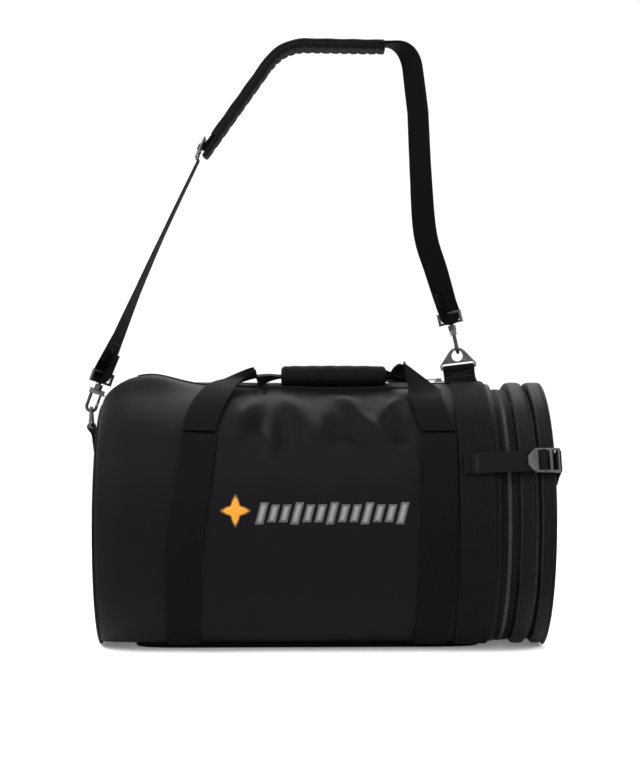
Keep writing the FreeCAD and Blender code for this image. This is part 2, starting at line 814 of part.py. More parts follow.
def strap_ring(side):
    """A flat triangular ring: a round bar for the tab, a slot and a round eye for the hook."""
    name = f"{side}_ring"
    body = new_body(name)
    plate = sketch_on(body, "XZ_Plane")
    half, top = "dim.ring_half", "dim.ring_top"
    right = [
        (half + " - 1.5", "-dim.ring_bar_r"),
        (half, "-0.5"),
        (half, "5.5"),
        (half + " * 0.45", f"{top} - 6"),
        (half + " * 0.28", f"{top} - 1.5"),
        (half + " * 0.1", top),
    ]
    left = [(f"-({x})", y) for x, y in reversed(right)]
    polygon_loop(plate, right + left)
    pad(body, plate, "dim.ring_t", both_ways=True)
    holes = sketch_on(body, "XZ_Plane")
    circle_loop(holes, "0.001", "dim.ring_eye_z", "dim.ring_eye_r")
    slot = [
        ("dim.ring_slot", "-dim.ring_bar_r - 1"),
        ("dim.ring_slot", "5.2"),
        ("dim.ring_slot - 3", "7.2"),
    ]
    polygon_loop(holes, slot + [(f"-({x})", y) for x, y in reversed(slot)])
    pocket(body, holes, "dim.ring_t + 2", both_ways=True)
    bar = solid(
        "Cylinder",
        name + "_bar",
        ALONG_X,
        Radius="dim.ring_bar_r",
        Height="2 * dim.ring_slot + 2",
        x="-dim.ring_slot - 1",
    )
    whole = fused(name, [body, bar])
    whole.Placement = ring_place(side)
    keep(whole, name)


def tabs():
    """The webbing tabs that hold the strap rings: each is a flat stub with a loop round the ring's bar."""
    loop_r = "dim.ring_bar_r + dim.ring_fit + dim.web_t"
    for side, stub_low in (("right", "dim.axis_z + dim.shell_r + dim.web_t + 3.8"), ("left", "dim.left_ring_z - dim.left_tab_drop")):
        name = f"{side}_tab"
        place = ring_place(side)
        height = f"(dim.{side}_ring_z - ({stub_low}))"
        stub = solid(
            "Box",
            name + "_stub",
            Length="dim.web_w",
            Width="2 * dim.web_t" if side == "right" else "9",
            Height=f"{height} - 3" if side == "right" else height,
            x="-dim.web_w / 2",
            y="-dim.web_t" if side == "right" else "-11",
            z=f"-{height}",
        )
        loop = solid("Cylinder", name + "_loop", ALONG_X, Radius=loop_r, Height="dim.web_w", x="-dim.web_w / 2")
        hole = solid(
            "Cylinder",
            name + "_hole",
            ALONG_X,
            Radius="dim.ring_bar_r + dim.ring_fit",
            Height="dim.web_w + 2",
            x="-dim.web_w / 2 - 1",
        )
        whole = boolean("Cut", name, fused(name + "_whole", [stub, loop]), hole)
        whole.Placement = place
        keep(whole, name)


# ---- compression straps ----


def compression(name, turn):
    """A load strap sewn on the case, its free tail, and a ladder-lock buckle on the end cap."""
    flat = {"Width": "dim.strap_w", "Height": "dim.strap_web_t", "y": "-dim.strap_w / 2"}
    load = solid("Box", name + "_load", Length="dim.load_len", x="dim.load_x", z="dim.strap_r", **flat)
    tail_z = "dim.strap_r + dim.strap_web_t + 0.4"
    tail = solid("Box", name + "_tail", Length="dim.tail_len", x="dim.tail_x", z=tail_z, **flat)
    strap = fused(
        name + "_pair",
        [load, solid("Box", name + "_fold", Length=2, x="dim.load_x + dim.load_len - 6", z="dim.strap_r + 1",
                     Width="dim.strap_w", Height="2", y="-dim.strap_w / 2"), tail],
    )
    strap.Placement = round_case(turn)
    low = "dim.strap_r + 2 * dim.strap_web_t + 0.8"
    body = new_body(name + "_buckle")
    frame = sketch_on(body, "XY_Plane", low)
    half = "dim.lock_w / 2"
    right = "dim.lock_x + dim.lock_len"
    thumb = [
        ("dim.lock_x - dim.lock_thumb_r", f"{half} * 0.35"),
        ("dim.lock_x - dim.lock_thumb_r * 0.5", f"{half} * 0.75"),
    ]
    outline = [("dim.lock_x", half), ("dim.lock_bar_x + dim.lock_bar_r", half)]
    upper = thumb + outline
    polygon_loop(frame, upper + [(x, f"-({y})") for x, y in reversed(upper)])
    pad(body, frame, "dim.lock_t")
    slots = sketch_on(body, "XY_Plane", low)
    inner = f"{half} - dim.lock_rail"
    for start, end in (("3", "8.5"), ("12.5", "20"), ("24", "dim.lock_len")):
        x0 = f"dim.lock_x + {start}"
        x1 = f"dim.lock_x + {end}" if end != "dim.lock_len" else "dim.lock_bar_x + dim.lock_bar_r + 1"
        polygon_loop(slots, [(x0, inner), (x1, inner), (x1, f"-({inner})"), (x0, f"-({inner})")])
    pocket(body, slots, "dim.lock_t", forwards=True)
    bar_z = f"{low} + dim.lock_t / 2"
    bar = solid(
        "Cylinder",
        name + "_bar",
        ALONG_Y,
        Radius="dim.lock_bar_r",
        Height="dim.lock_w - 1",
        x="dim.lock_bar_x",
        y="-dim.lock_w / 2 + 0.5",
        z=bar_z,
    )
    buckle = fused(name + "_buckle_whole", [body, bar])
    buckle.Placement = round_case(turn)
    keep(buckle, name + "_buckle")
    loop_r = "dim.lock_bar_r + dim.lock_fit + dim.lock_loop_t"
    loop_w = "dim.strap_w - 0.6"
    loop = solid(
        "Cylinder",
        name + "_loop",
        ALONG_Y,
        Radius=loop_r,
        Height=loop_w,
        x="dim.lock_bar_x",
        y=f"-({loop_w}) / 2",
        z=bar_z,
    )
    strip = solid(
        "Box",
        name + "_strip",
        Length="dim.lock_loop_t",
        Width=loop_w,
        Height=f"{bar_z} - dim.lock_strip_r - dim.lock_bar_r - dim.lock_fit - 0.5",
        x="dim.lock_bar_x - 0.2",
        y=f"-({loop_w}) / 2",
        z="dim.lock_strip_r",
    )
    hole = solid(
        "Cylinder",
        name + "_loop_hole",
        ALONG_Y,
        Radius="dim.lock_bar_r + dim.lock_fit",
        Height="dim.lock_w",
        x="dim.lock_bar_x",
        y="-dim.lock_w / 2",
        z=bar_z,
    )
    anchor = boolean("Cut", name + "_anchor", fused(name + "_anchor_whole", [loop, strip]), hole)
    anchor.Placement = round_case(turn)
    return strap, anchor


def compressions():
    pairs = [compression("front", "dim.strap_turn"), compression("back", "-dim.strap_turn")]
    keep(grouped("compression_straps", [strap for strap, _ in pairs]), "compression_straps")
    keep(grouped("buckle_anchors", [anchor for _, anchor in pairs]), "buckle_anchors")


# ---- snap hooks ----

HOOK_LEAN = {"right": -13, "left": 20}
HOOK_SPIN = {"right": 90, "left": 0}
LOOP_SPIN = {"right": -45, "left": 50}


def hook_foot(side):
    """The middle of the hook's wire where it goes through the ring's eye."""
    return ring_place(side).multVec(Vector(0, 0, value("dim.ring_eye_z + dim.hook_drop")))


def hook_place(side, spin):
    """The place of a piece modelled round the hook's own upright axis, from the foot of its bend."""
    lean = Rotation(Vector(0, 1, 0), HOOK_LEAN[side])
    bend = Vector(0, 0, value("dim.hook_bend_r"))
    return Placement(hook_foot(side) + bend - lean.multVec(bend), lean * Rotation(Vector(0, 0, 1), spin))


def snap_hook(side):
    """A cast hook: a bend through the ring, an arm, ears for the gate and a collar for the swivel post."""
    name = f"{side}_hook"
    wire, bend = "dim.hook_wire_r", "dim.hook_bend_r"
    upright = Rotation(Vector(1, 0, 0), 90)
    curve = solid("Torus", name + "_bend", upright, Radius1=bend, Radius2=wire, z=bend)
    below = solid("Box", name + "_below", Length=40, Width=20, Height=f"{bend} + {wire}", x=-20, y=-10, z=f"-{wire}")
    curve = boolean("Common", name + "_curve", curve, below)
    arm = solid("Cylinder", name + "_arm", Radius=wire, Height=f"dim.hook_arm - {bend} + 2", x=f"-{bend}", z=bend)
    tip = solid("Cylinder", name + "_tip", Radius=wire, Height=5, x=bend, z=bend)
    block = solid("Box", name + "_block", Length=15.2, Width=8, Height=8, x=-11.5, y=-4, z="dim.hook_arm")
    ears = [
        solid("Box", f"{name}_ear_{n}", Length=9, Width=1.3, Height=8, x=3, y=y, z="dim.hook_arm")
        for n, y in enumerate((-4, 2.7))
    ]
    pin = solid("Cylinder", name + "_pin", ALONG_Y, Radius="dim.gate_pin_r", Height=8, x=bend, y=-4, z="dim.hook_arm + 4")
    collar = solid(
        "Cylinder",
        name + "_collar",
        Radius="dim.hook_collar_r",
        Height="dim.hook_top - dim.hook_arm - 7",
        z="dim.hook_arm + 7",
    )
    bore = solid(
        "Cylinder",
        name + "_bore",
        Radius="dim.hook_post_r + dim.hook_fit",
        Height="dim.hook_top - dim.hook_arm - 7",
        z="dim.hook_arm + 8.5",
    )
    whole = fused(name + "_whole", [curve, arm, tip, block, *ears, pin, collar])
    hook = boolean("Cut", name, whole, bore)
    hook.Placement = hook_place(side, HOOK_SPIN[side])
    keep(hook, name)


def hook_gate(side):
    """The sprung gate that closes the hook between its tip and its pivot."""
    name = f"{side}_gate"
    pivot_z = "dim.hook_arm + 4"
    foot = "dim.hook_bend_r + 5.5"
    stem = solid(
        "Cylinder", name + "_stem", Radius="dim.gate_r", Height=f"{pivot_z} - ({foot})", x="dim.hook_bend_r", z=foot
    )
    boss = solid(
        "Cylinder",
        name + "_boss",
        ALONG_Y,
        Radius="dim.gate_boss_r",
        Height=4.8,
        x="dim.hook_bend_r",
        y=-2.4,
        z=pivot_z,
    )
    lever = solid("Box", name + "_lever", Length=6, Width=3.4, Height=2, x="dim.hook_bend_r + 1", y=-1.7, z=f"{pivot_z} - 3.6")
    hole = solid(
        "Cylinder",
        name + "_hole",
        ALONG_Y,
        Radius="dim.gate_pin_r + 0.08",
        Height=8,
        x="dim.hook_bend_r",
        y=-4,
        z=pivot_z,
    )
    gate = boolean("Cut", name, fused(name + "_whole", [stem, boss, lever]), hole)
    gate.Placement = hook_place(side, HOOK_SPIN[side])
    keep(gate, name)


def swivel_loop(side):
    """The wire frame that holds the webbing, with the swivel post that turns in the hook's collar."""
    name = f"{side}_loop"
    body = new_body(name)
    low = "dim.hook_top + 2"
    frame = sketch_on(body, "XZ_Plane")
    for half, start, end in (
        ("(dim.sling_w / 2 + 1 + dim.loop_wire)", low, f"{low} + dim.loop_h"),
        ("(dim.sling_w / 2 + 1)", f"{low} + dim.loop_wire", f"{low} + dim.loop_h - dim.loop_wire"),
    ):
        polygon_loop(frame, [(f"-{half}", start), (half, start), (half, end), (f"-{half}", end)])
    pad(body, frame, "dim.loop_wire", both_ways=True)
    post = solid(
        "Cylinder",
        name + "_post",
        Radius="dim.hook_post_r",
        Height="dim.hook_top + 3 - (dim.hook_arm + 10)",
        z="dim.hook_arm + 10",
    )
    whole = fused(name, [body, post])
    whole.Placement = hook_place(side, LOOP_SPIN[side])
    keep(whole, name)


def loop_top(side):
    """Where the webbing leaves the swivel loop, just clear of its upper bar."""
    height = value("dim.hook_top + 2 + dim.loop_h + 1.4")
    return hook_place(side, 0).multVec(Vector(0, 0, height))


# ---- shoulder strap ----

# Corners of the strap's arch in the XZ plane, from the adjuster to the right leg: the ring that each one is
# measured from, the distances along X and Z, and the radius of its bend.
ARCH = [("left", 175, 433, 0), ("left", 296, 603, 80), ("right", -77, 508, 45), ("right", -64, 401, 0)]
PAD_END = ("right", -117, 508.6, 0)
KNEE = ("right", -53, 211, 0)
LEFT_TWISTS = ((0, -40), (0.15, -22), (0.35, -10), (0.6, -2), (0.93, 0))
RIGHT_TWISTS = ((0, 0), (0.2, -18), (0.45, -34), (1, -42))


def corner(side, along, up, bend):
    """A corner of the arch at its distances from a strap ring, with the radius of its bend."""
    return Vector(value(f"dim.{side}_ring_x") + along, 0, value(f"dim.{side}_ring_z") + up), bend


def rounded_path(corners):
    """A wire of straight runs with an arc at each inner corner."""
    edges, start = [], corners[0][0]
    for before, (turning, radius), after in zip(corners, corners[1:], corners[2:]):
        back = (before[0] - turning).normalize()
        ahead = (after[0] - turning).normalize()
        opening = math.acos(back.dot(ahead))
        reach = radius / math.tan(opening / 2)
        first, last = turning + back * reach, turning + ahead * reach
        bisector = (back + ahead).normalize()
        middle = turning + bisector * (radius / math.sin(opening / 2) - radius)
        edges += [Part.LineSegment(start, first).toShape(), Part.Arc(first, middle, last).toShape()]
        start = last
    edges.append(Part.LineSegment(start, corners[-1][0]).toShape())
    return Part.Wire(edges)


def cross_section(spot, ahead, width, thickness, twist=0, lift=0):
    """A flat rectangle across a run, its width along Y turned by twist degrees about the run."""
    side = Rotation(ahead, twist).multVec(Vector(0, 1, 0))
    up = ahead.cross(side).normalize()
    return rectangle(spot + up * lift, up.cross(ahead).normalize(), up, width, thickness)


def swept_ribbon(corners, width, thickness, lift=0):
    path = rounded_path(corners)
    ahead = (corners[1][0] - corners[0][0]).normalize()
    section = cross_section(corners[0][0], ahead, width, thickness, 0, lift)
    return path.makePipeShell([section], True, False, 2)


def twisted_ribbon(spots, twists, width, thickness):
    sections = []
    for n, (spot, twist) in enumerate(zip(spots, twists)):
        ahead = (spots[min(n + 1, len(spots) - 1)] - spots[max(n - 1, 0)]).normalize()
        sections.append(cross_section(spot, ahead, width, thickness, twist))
    return Part.makeLoft(sections, True, True)


def shape_part(label, shape):
    item = doc.addObject("Part::Feature", label)
    item.Shape = shape
    return keep(item, label)


def between(first, last, share):
    return first + (last - first) * share


def shoulder_strap():
    width, web = value("dim.sling_w"), value("dim.sling_t")
    double = 2 * web + value("dim.clearance")
    left, right = loop_top("left"), loop_top("right")
    arch_line = [corner(*spot) for spot in ARCH]
    spots = [between(left, arch_line[0][0], share) for share, _ in LEFT_TWISTS]
    shape_part("strap_single_web", twisted_ribbon(spots, [twist for _, twist in LEFT_TWISTS], width, web))
    arch = swept_ribbon(arch_line, width, double)
    knee = corner(*KNEE)[0]
    spots = [between(arch_line[-1][0], knee, share) for share, _ in RIGHT_TWISTS] + [between(knee, right, 0.5), right]
    twists = [twist for _, twist in RIGHT_TWISTS] + [-44, -45]
    leg = twisted_ribbon(spots, twists, width, double)
    shape_part("strap_double_web", arch.fuse(leg))
    shoulder_pad(width, double)
    glide(left, double)


def shoulder_pad(width, double):
    """A cushion under the doubled web, with a thin sleeve that the web runs through."""
    gap, thick, sleeve_t = value("dim.pad_gap"), value("dim.pad_t"), value("dim.sleeve_t")
    (start, _), bend, end = corner(*ARCH[0]), corner(*ARCH[1]), corner(*PAD_END)
    ahead = (bend[0] - start).normalize()
    corners = [(start - ahead * 8, 0), bend, end]
    cushion = swept_ribbon(corners, value("dim.pad_w"), thick, -(double / 2 + gap + thick / 2))
    sleeved = [(start + ahead * value("dim.sleeve_start"), 0), bend, end]
    height = double + 2 * gap + sleeve_t + 1
    sleeve = swept_ribbon(sleeved, width + 2 * (gap + sleeve_t), height, (sleeve_t - 1) / 2)
    slot = swept_ribbon(corners, width + 2 * gap, double + 2 * gap)
    shape_part("shoulder_pad", cushion.fuse(sleeve).cut(slot))


def glide(left, double):
    """The three-bar slider that sets the strap's length, lying on the webbing."""
    body = new_body("strap_adjuster")
    plate = sketch_on(body, "XY_Plane")
    half_l, half_w = "dim.glide_len / 2", "(dim.sling_w / 2 + 5)"
    polygon_loop(plate, [(f"-{half_l}", f"-{half_w}"), (half_l, f"-{half_w}"), (half_l, half_w), (f"-{half_l}", half_w)])
    pad(body, plate, "dim.glide_t")
    slots = sketch_on(body, "XY_Plane")
    inner = "(dim.sling_w / 2 + 1)"
    for x0, x1 in (("3.5", f"{half_l} - 4"), (f"-{half_l} + 4", "-3.5")):
        polygon_loop(slots, [(x0, f"-{inner}"), (x1, f"-{inner}"), (x1, inner), (x0, inner)])
    pocket(body, slots, "dim.glide_t", forwards=True)
    start = corner(*ARCH[0])[0]
    run = (start - left).normalize()
    turn = Rotation(Vector(0, 1, 0), -math.degrees(math.atan2(run.z, run.x)))
    body.Placement = Placement(start + turn.multVec(Vector(0, 0, double / 2 + 0.8)), turn)
    keep(body, "strap_adjuster")


# ---- the whole case ----


def build():
    fill_sheet()
    case_wall()
    middle_ring()
    end_cap()
    pipings()
    base_panel()
    bands()
    flap("front", FRONT_SIDE)
    flap("back", BACK_SIDE)
    zip_ends()
    coil_top = "dim.shell_r + dim.layer_gap + dim.tape_t"
    park_x = "dim.mouth_x + dim.mouth_len + dim.stop_len / 2 + 3"
    zip_slider("main_zip", round_case("0", coil_top, park_x), "13", "8")
    one_x = f"{BODY_END} + dim.zip_one_w / 2"
    two_x = f"{MID_END} + dim.zip_two_w / 2"
    across = Rotation(Vector(0, 0, 1), 90)
    for name, x, tape_r, width, pull_w in (
        ("zip_one", one_x, "dim.tape_one_r", "13", "8"),
        ("zip_two", two_x, "dim.tape_two_r", "6.6", "6.2"),
    ):
        place = round_case("-135", f"{tape_r} + dim.tape_t + dim.coil_h", x)
        zip_slider(name, Placement(place.Base, place.Rotation * across), width, pull_w)
    handle("front", FRONT_SIDE)
    handle("back", BACK_SIDE)
    grip()
    expansion()
    compressions()
    for side in ("right", "left"):
        strap_ring(side)
        snap_hook(side)
        hook_gate(side)
        swivel_loop(side)
    tabs()
    shoulder_strap()
    doc.recompute()


def check():
    """Stops the build if an object failed or a sub-part is no valid solid."""
    for item in doc.Objects:
        if any(word in item.State for word in ("Invalid", "Error")):
            raise SystemExit(f"{item.Label} failed: {item.State}")
    for item in kept:
        if item.Shape.isNull() or not item.Shape.isValid() or not item.Shape.Solids:
            raise SystemExit(f"{item.Label} is no valid solid")


build()
check()
os.makedirs(OUT, exist_ok=True)
for part in kept:
    part.Shape.exportStep(os.path.join(OUT, part.Label + ".step"))
print(len(kept), "sub-parts")
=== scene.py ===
import json
import math

import bpy
import numpy as np
from mathutils import Matrix, Vector, noise

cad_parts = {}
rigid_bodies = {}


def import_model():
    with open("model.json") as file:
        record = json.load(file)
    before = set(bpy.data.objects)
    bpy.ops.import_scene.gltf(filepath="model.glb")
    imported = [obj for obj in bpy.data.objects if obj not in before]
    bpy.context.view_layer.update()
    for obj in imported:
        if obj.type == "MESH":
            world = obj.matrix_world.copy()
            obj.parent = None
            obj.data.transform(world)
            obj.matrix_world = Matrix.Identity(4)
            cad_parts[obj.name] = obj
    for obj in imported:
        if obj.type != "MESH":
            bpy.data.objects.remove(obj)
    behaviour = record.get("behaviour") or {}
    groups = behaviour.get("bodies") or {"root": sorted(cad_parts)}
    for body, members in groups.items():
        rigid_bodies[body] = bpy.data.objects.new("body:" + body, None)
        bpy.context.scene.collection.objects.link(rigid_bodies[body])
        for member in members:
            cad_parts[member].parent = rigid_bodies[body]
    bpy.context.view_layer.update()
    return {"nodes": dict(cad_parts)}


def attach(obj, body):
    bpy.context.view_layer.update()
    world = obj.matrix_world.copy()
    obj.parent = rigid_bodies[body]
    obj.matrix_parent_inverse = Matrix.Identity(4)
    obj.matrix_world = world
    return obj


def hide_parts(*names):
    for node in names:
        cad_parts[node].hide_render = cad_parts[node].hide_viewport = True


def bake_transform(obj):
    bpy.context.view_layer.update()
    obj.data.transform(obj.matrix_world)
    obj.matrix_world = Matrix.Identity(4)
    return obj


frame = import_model()

# ---- the view ----
# The case is seen level with its top from three metres in front, a touch from the left, so that the front
# panel, the left shoulder and the two rings at the right show.
lens = bpy.data.cameras.new("view")
lens.lens = 90.6
lens.sensor_width = 36
camera = bpy.data.objects.new("view", lens)
bpy.context.collection.objects.link(camera)
bpy.context.scene.camera = camera
camera.location = (-0.0785, -3.0, 0.41)
camera.rotation_euler = (Vector((0.0, 0.0, 0.41)) - camera.location).to_track_quat("-Z", "Y").to_euler()
bpy.context.scene.view_settings.view_transform = "Standard"


# ---- floor and lights ----
# A pale seamless sheet of paper lies under the case, lit by a large soft box above on the left, a weaker one
# on the right and white walls all round.
def alone(thing):
    """Only this object is selected and active."""
    for other in bpy.context.view_layer.objects:
        other.select_set(False)
    thing.select_set(True)
    bpy.context.view_layer.objects.active = thing
    return thing


class Thread:
    """One value in a material. Sums and products on it add Math nodes, and node() adds any other node."""

    def __init__(self, tree, socket=None):
        self.tree, self.socket = tree, socket

    def node(self, kind, sockets=(), out=0, stops=None, **settings):
        made = self.tree.nodes.new("ShaderNode" + kind)
        for name, given in settings.items():
            setattr(made, name, given)
        for n, (place, colour) in enumerate(stops or ()):
            stop = made.color_ramp.elements[n] if n < 2 else made.color_ramp.elements.new(place)
            stop.position, stop.color = place, (*colour, 1)
        for name, given in dict(sockets).items():
            if isinstance(given, Thread):
                self.tree.links.new(given.socket, made.inputs[name])
            else:
                made.inputs[name].default_value = given
        return Thread(self.tree, made.outputs[out])

    def maths(self, operation, *values):
        return self.node("Math", dict(enumerate(values)), operation=operation)

    def __add__(self, other):
        return self.maths("ADD", self, other)

    def __sub__(self, other):
        return self.maths("SUBTRACT", self, other)

    def __mul__(self, other):
        return self.maths("MULTIPLY", self, other)

    def __truediv__(self, other):
        return self.maths("DIVIDE", self, other)

    def __rsub__(self, other):
        return self.maths("SUBTRACT", other, self)

    __radd__, __rmul__ = __add__, __mul__


def finish_of(name):
    """A new material: its Thread, and its Principled shader's own sockets by name."""
    made = bpy.data.materials.new(name)
    made.use_nodes = True
    shader = made.node_tree.nodes["Principled BSDF"]
    return made, Thread(made.node_tree), shader


def lead(thread, shader, name):
    thread.tree.links.new(thread.socket, shader.inputs[name])


bpy.ops.mesh.primitive_plane_add(size=14, location=(0, 0, 0))
floor = bpy.context.object
floor.name = "paper_sweep"
bpy.ops.object.mode_set(mode="EDIT")
bpy.ops.mesh.subdivide(number_cuts=20)
bpy.ops.object.mode_set(mode="OBJECT")
for spot in floor.data.vertices:
    if spot.co.y > 3.5:
        spot.co.z = (spot.co.y - 3.5) ** 2 * 0.6
bpy.ops.object.shade_smooth()
paper, t, s = finish_of("paper")
s.inputs["Roughness"].default_value = 0.9
s.inputs["Specular IOR Level"].default_value = 0.1
s.inputs["Emission Color"].default_value = (1, 1, 1, 1)
s.inputs["Emission Strength"].default_value = 0.16
place = t.node("TexCoord", out=3)
grain = t.node("TexNoise", {"Vector": place, "Scale": 3.0, "Detail": 3.0})
lead(t.node("ValToRGB", {"Fac": grain}, stops=[(0.3, (0.86, 0.86, 0.865)), (0.7, (0.88, 0.88, 0.88))]), s,
     "Base Color")
floor.data.materials.append(paper)

sky = bpy.data.worlds.new("studio")
bpy.context.scene.world = sky
sky.use_nodes = True
sky.node_tree.nodes["Background"].inputs["Color"].default_value = (1, 1, 1, 1)
sky.node_tree.nodes["Background"].inputs["Strength"].default_value = 0.75

for name, place, size, power in (
    ("soft_box_left", (-1.7, -1.5, 2.3), 1.3, 105),
    ("soft_box_front", (0.4, -3.4, 1.9), 2.2, 30),
    ("soft_box_right", (2.1, -0.6, 1.5), 1.2, 34),
    ("soft_box_back", (0.2, 1.8, 2.2), 1.6, 45),
):
    lamp = bpy.data.lights.new(name, "AREA")
    lamp.size, lamp.energy = size, power
    item = bpy.data.objects.new(name, lamp)
    item.location = place
    item.rotation_euler = (Vector((0, 0, 0.3)) - Vector(place)).to_track_quat("-Z", "Y").to_euler()
    bpy.context.collection.objects.link(item)


# ---- the main case ----
# A padded tube of coated polyester over closed-cell foam, lined with grey nylon, flat underneath and with a
# long mouth along the top. The foam's weight and the pull of the handles leave soft buckles below the mouth.
CASE_RADIUS, CASE_AXIS = 0.206, 0.198


def eased(share):
    share = min(max(share, 0.0), 1.0)
    return share * share * (3 - 2 * share)


def buckle_at(x, arc, at_x, at_turn, reach, width, slant, height):
    """One soft buckle in the cloth: a ridge or a valley round a middle, leaning by slant degrees."""
    dx, dy = x - at_x, arc - math.radians(at_turn) * CASE_RADIUS
    cos, sin = math.cos(math.radians(slant)), math.sin(math.radians(slant))
    along, across = dy * cos + dx * sin, dx * cos - dy * sin
    return height * math.exp(-((along / reach) ** 2) - (across / width) ** 2)


BUCKLES = (
    (-0.122, 42, 0.040, 0.013, -14, 0.0112),
    (-0.102, 44, 0.034, 0.009, -14, -0.0112),
    (-0.080, 55, 0.026, 0.010, 8, 0.0083),
    (-0.062, 52, 0.032, 0.011, 4, -0.0090),
    (-0.045, 34, 0.040, 0.016, 20, 0.0075),
    (-0.010, 50, 0.036, 0.014, -6, 0.0075),
    (0.016, 50, 0.030, 0.012, 12, -0.0090),
    (0.040, 31, 0.030, 0.016, 38, 0.0097),
    (0.070, 46, 0.042, 0.011, 35, 0.0097),
    (0.100, 36, 0.036, 0.011, -26, 0.0097),
    (0.114, 50, 0.022, 0.014, 10, -0.0112),
    (0.040, 50, 0.022, 0.013, 20, -0.0075),
    (0.132, 66, 0.030, 0.012, 24, 0.0053),
    (-0.104, 19, 0.014, 0.0035, 6, -0.0042),
    (-0.088, 19, 0.014, 0.0035, -4, -0.0042),
    (-0.058, 70, 0.050, 0.016, 30, 0.0042),
    (0.020, 76, 0.050, 0.018, -24, 0.0042),
)


def case_at(x, turn, lift=0.0):
    """A point on the outside of the case: x along it, turn in degrees from the top towards the front."""
    share = min(max((x + 0.338) / 0.048, 0.0), 1.0)
    full = math.sqrt(1 - (1 - share) ** 2)
    radius, axis = 0.185 + 0.021 * full, 0.184 + 0.014 * full
    side = abs(turn)
    arc = math.radians(side) * CASE_RADIUS
    if side < 100:
        top = math.exp(-(((side - 12) / 8.5) ** 2)) * (0 if side < 3.9 else eased((side - 3.9) / 7))
        radius += 0.0165 * math.exp(-(((x + 0.262) / 0.052) ** 2)) * top
        radius -= 0.0055 * math.exp(-(((x - 0.03) / 0.13) ** 2)) * math.exp(-(((side - 16) / 13) ** 2))
        within = eased((x + 0.20) / 0.05) * eased((0.165 - x) / 0.04)
        if within > 0:
            away = (x, arc) if turn > 0 else (0.005 - x * 0.95, arc * 0.96 + 0.004)
            radius += within * sum(buckle_at(*away, *one) for one in BUCKLES)
    wave = noise.noise(Vector((x * 9, math.sin(math.radians(turn)) * 2.1,
                               math.cos(math.radians(turn)) * 2.1 + 4)))
    calm = eased((x + 0.335) / 0.05) * eased((0.25 - x) / 0.03) * eased((side - 4) / 8)
    radius += 0.0022 * wave * calm
    if x > 0.2505:
        roll = min(abs((x - 0.2565) / 0.0062), 1.0)
        radius += 0.0022 * math.sqrt(1 - roll * roll) - 0.0026
    bow = math.radians(turn)
    y, z = -(radius + lift) * math.sin(bow), axis + (radius + lift) * math.cos(bow)
    low = 0.004 - lift
    soft = 0.010
    if z < low + soft:
        z = low + soft * math.exp((z - low - soft) / soft) if z > low - 0.05 else low + soft * math.exp(-6)
    return Vector((x, y, z))


def panel(name, columns, rows, where, joined=True):
    """A sheet of cloth: a grid whose points are moved to where(share along, share across)."""
    bpy.ops.mesh.primitive_grid_add(x_subdivisions=columns, y_subdivisions=rows, size=2)
    made = alone(bpy.context.object)
    made.name = made.data.name = name
    mesh = made.data
    across = [[None] * (rows + 1) for _ in range(columns + 1)]
    for spot in mesh.vertices:
        i, j = round((spot.co.x + 1) / 2 * columns), round((spot.co.y + 1) / 2 * rows)
        spot.co = where(i / columns, j / rows)
        across[i][j] = spot.co.copy()
    middle_row, middle_column = rows // 2, columns // 2
    far = [0.0]
    for i in range(columns):
        far.append(far[-1] + (across[i + 1][middle_row] - across[i][middle_row]).length)
    wide = [0.0]
    for j in range(rows):
        wide.append(wide[-1] + (across[middle_column][j + 1] - across[middle_column][j]).length)
    for loop in mesh.uv_layers.active.data:
        i, j = round(loop.uv.x * columns), round(loop.uv.y * rows)
        loop.uv = (far[i], wide[j] - wide[-1] / 2)
    mesh.uv_layers.active.name = "cloth"
    if joined:
        bpy.ops.object.mode_set(mode="EDIT")
        bpy.ops.mesh.select_all(action="SELECT")
        bpy.ops.mesh.remove_doubles(threshold=1e-5)
        bpy.ops.object.mode_set(mode="OBJECT")
    return made


def thicken(made, thickness, offset=-1.0, inside=0, rim=0):
    """Gives a sheet its thickness, with other finishes for its inside and its rim."""
    alone(made)
    wall = made.modifiers.new("thick", "SOLIDIFY")
    wall.thickness, wall.offset = thickness, offset
    wall.material_offset, wall.material_offset_rim = inside, rim
    bpy.ops.object.modifier_apply(modifier="thick")
    bpy.ops.object.shade_smooth_by_angle(angle=math.radians(42))
    return made


def settle(made, body, slot, *nodes):
    """The piece is done: it moves with a body and stands for CAD nodes; slot is not used."""
    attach(made, body)
    if nodes:
        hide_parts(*nodes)
    return made


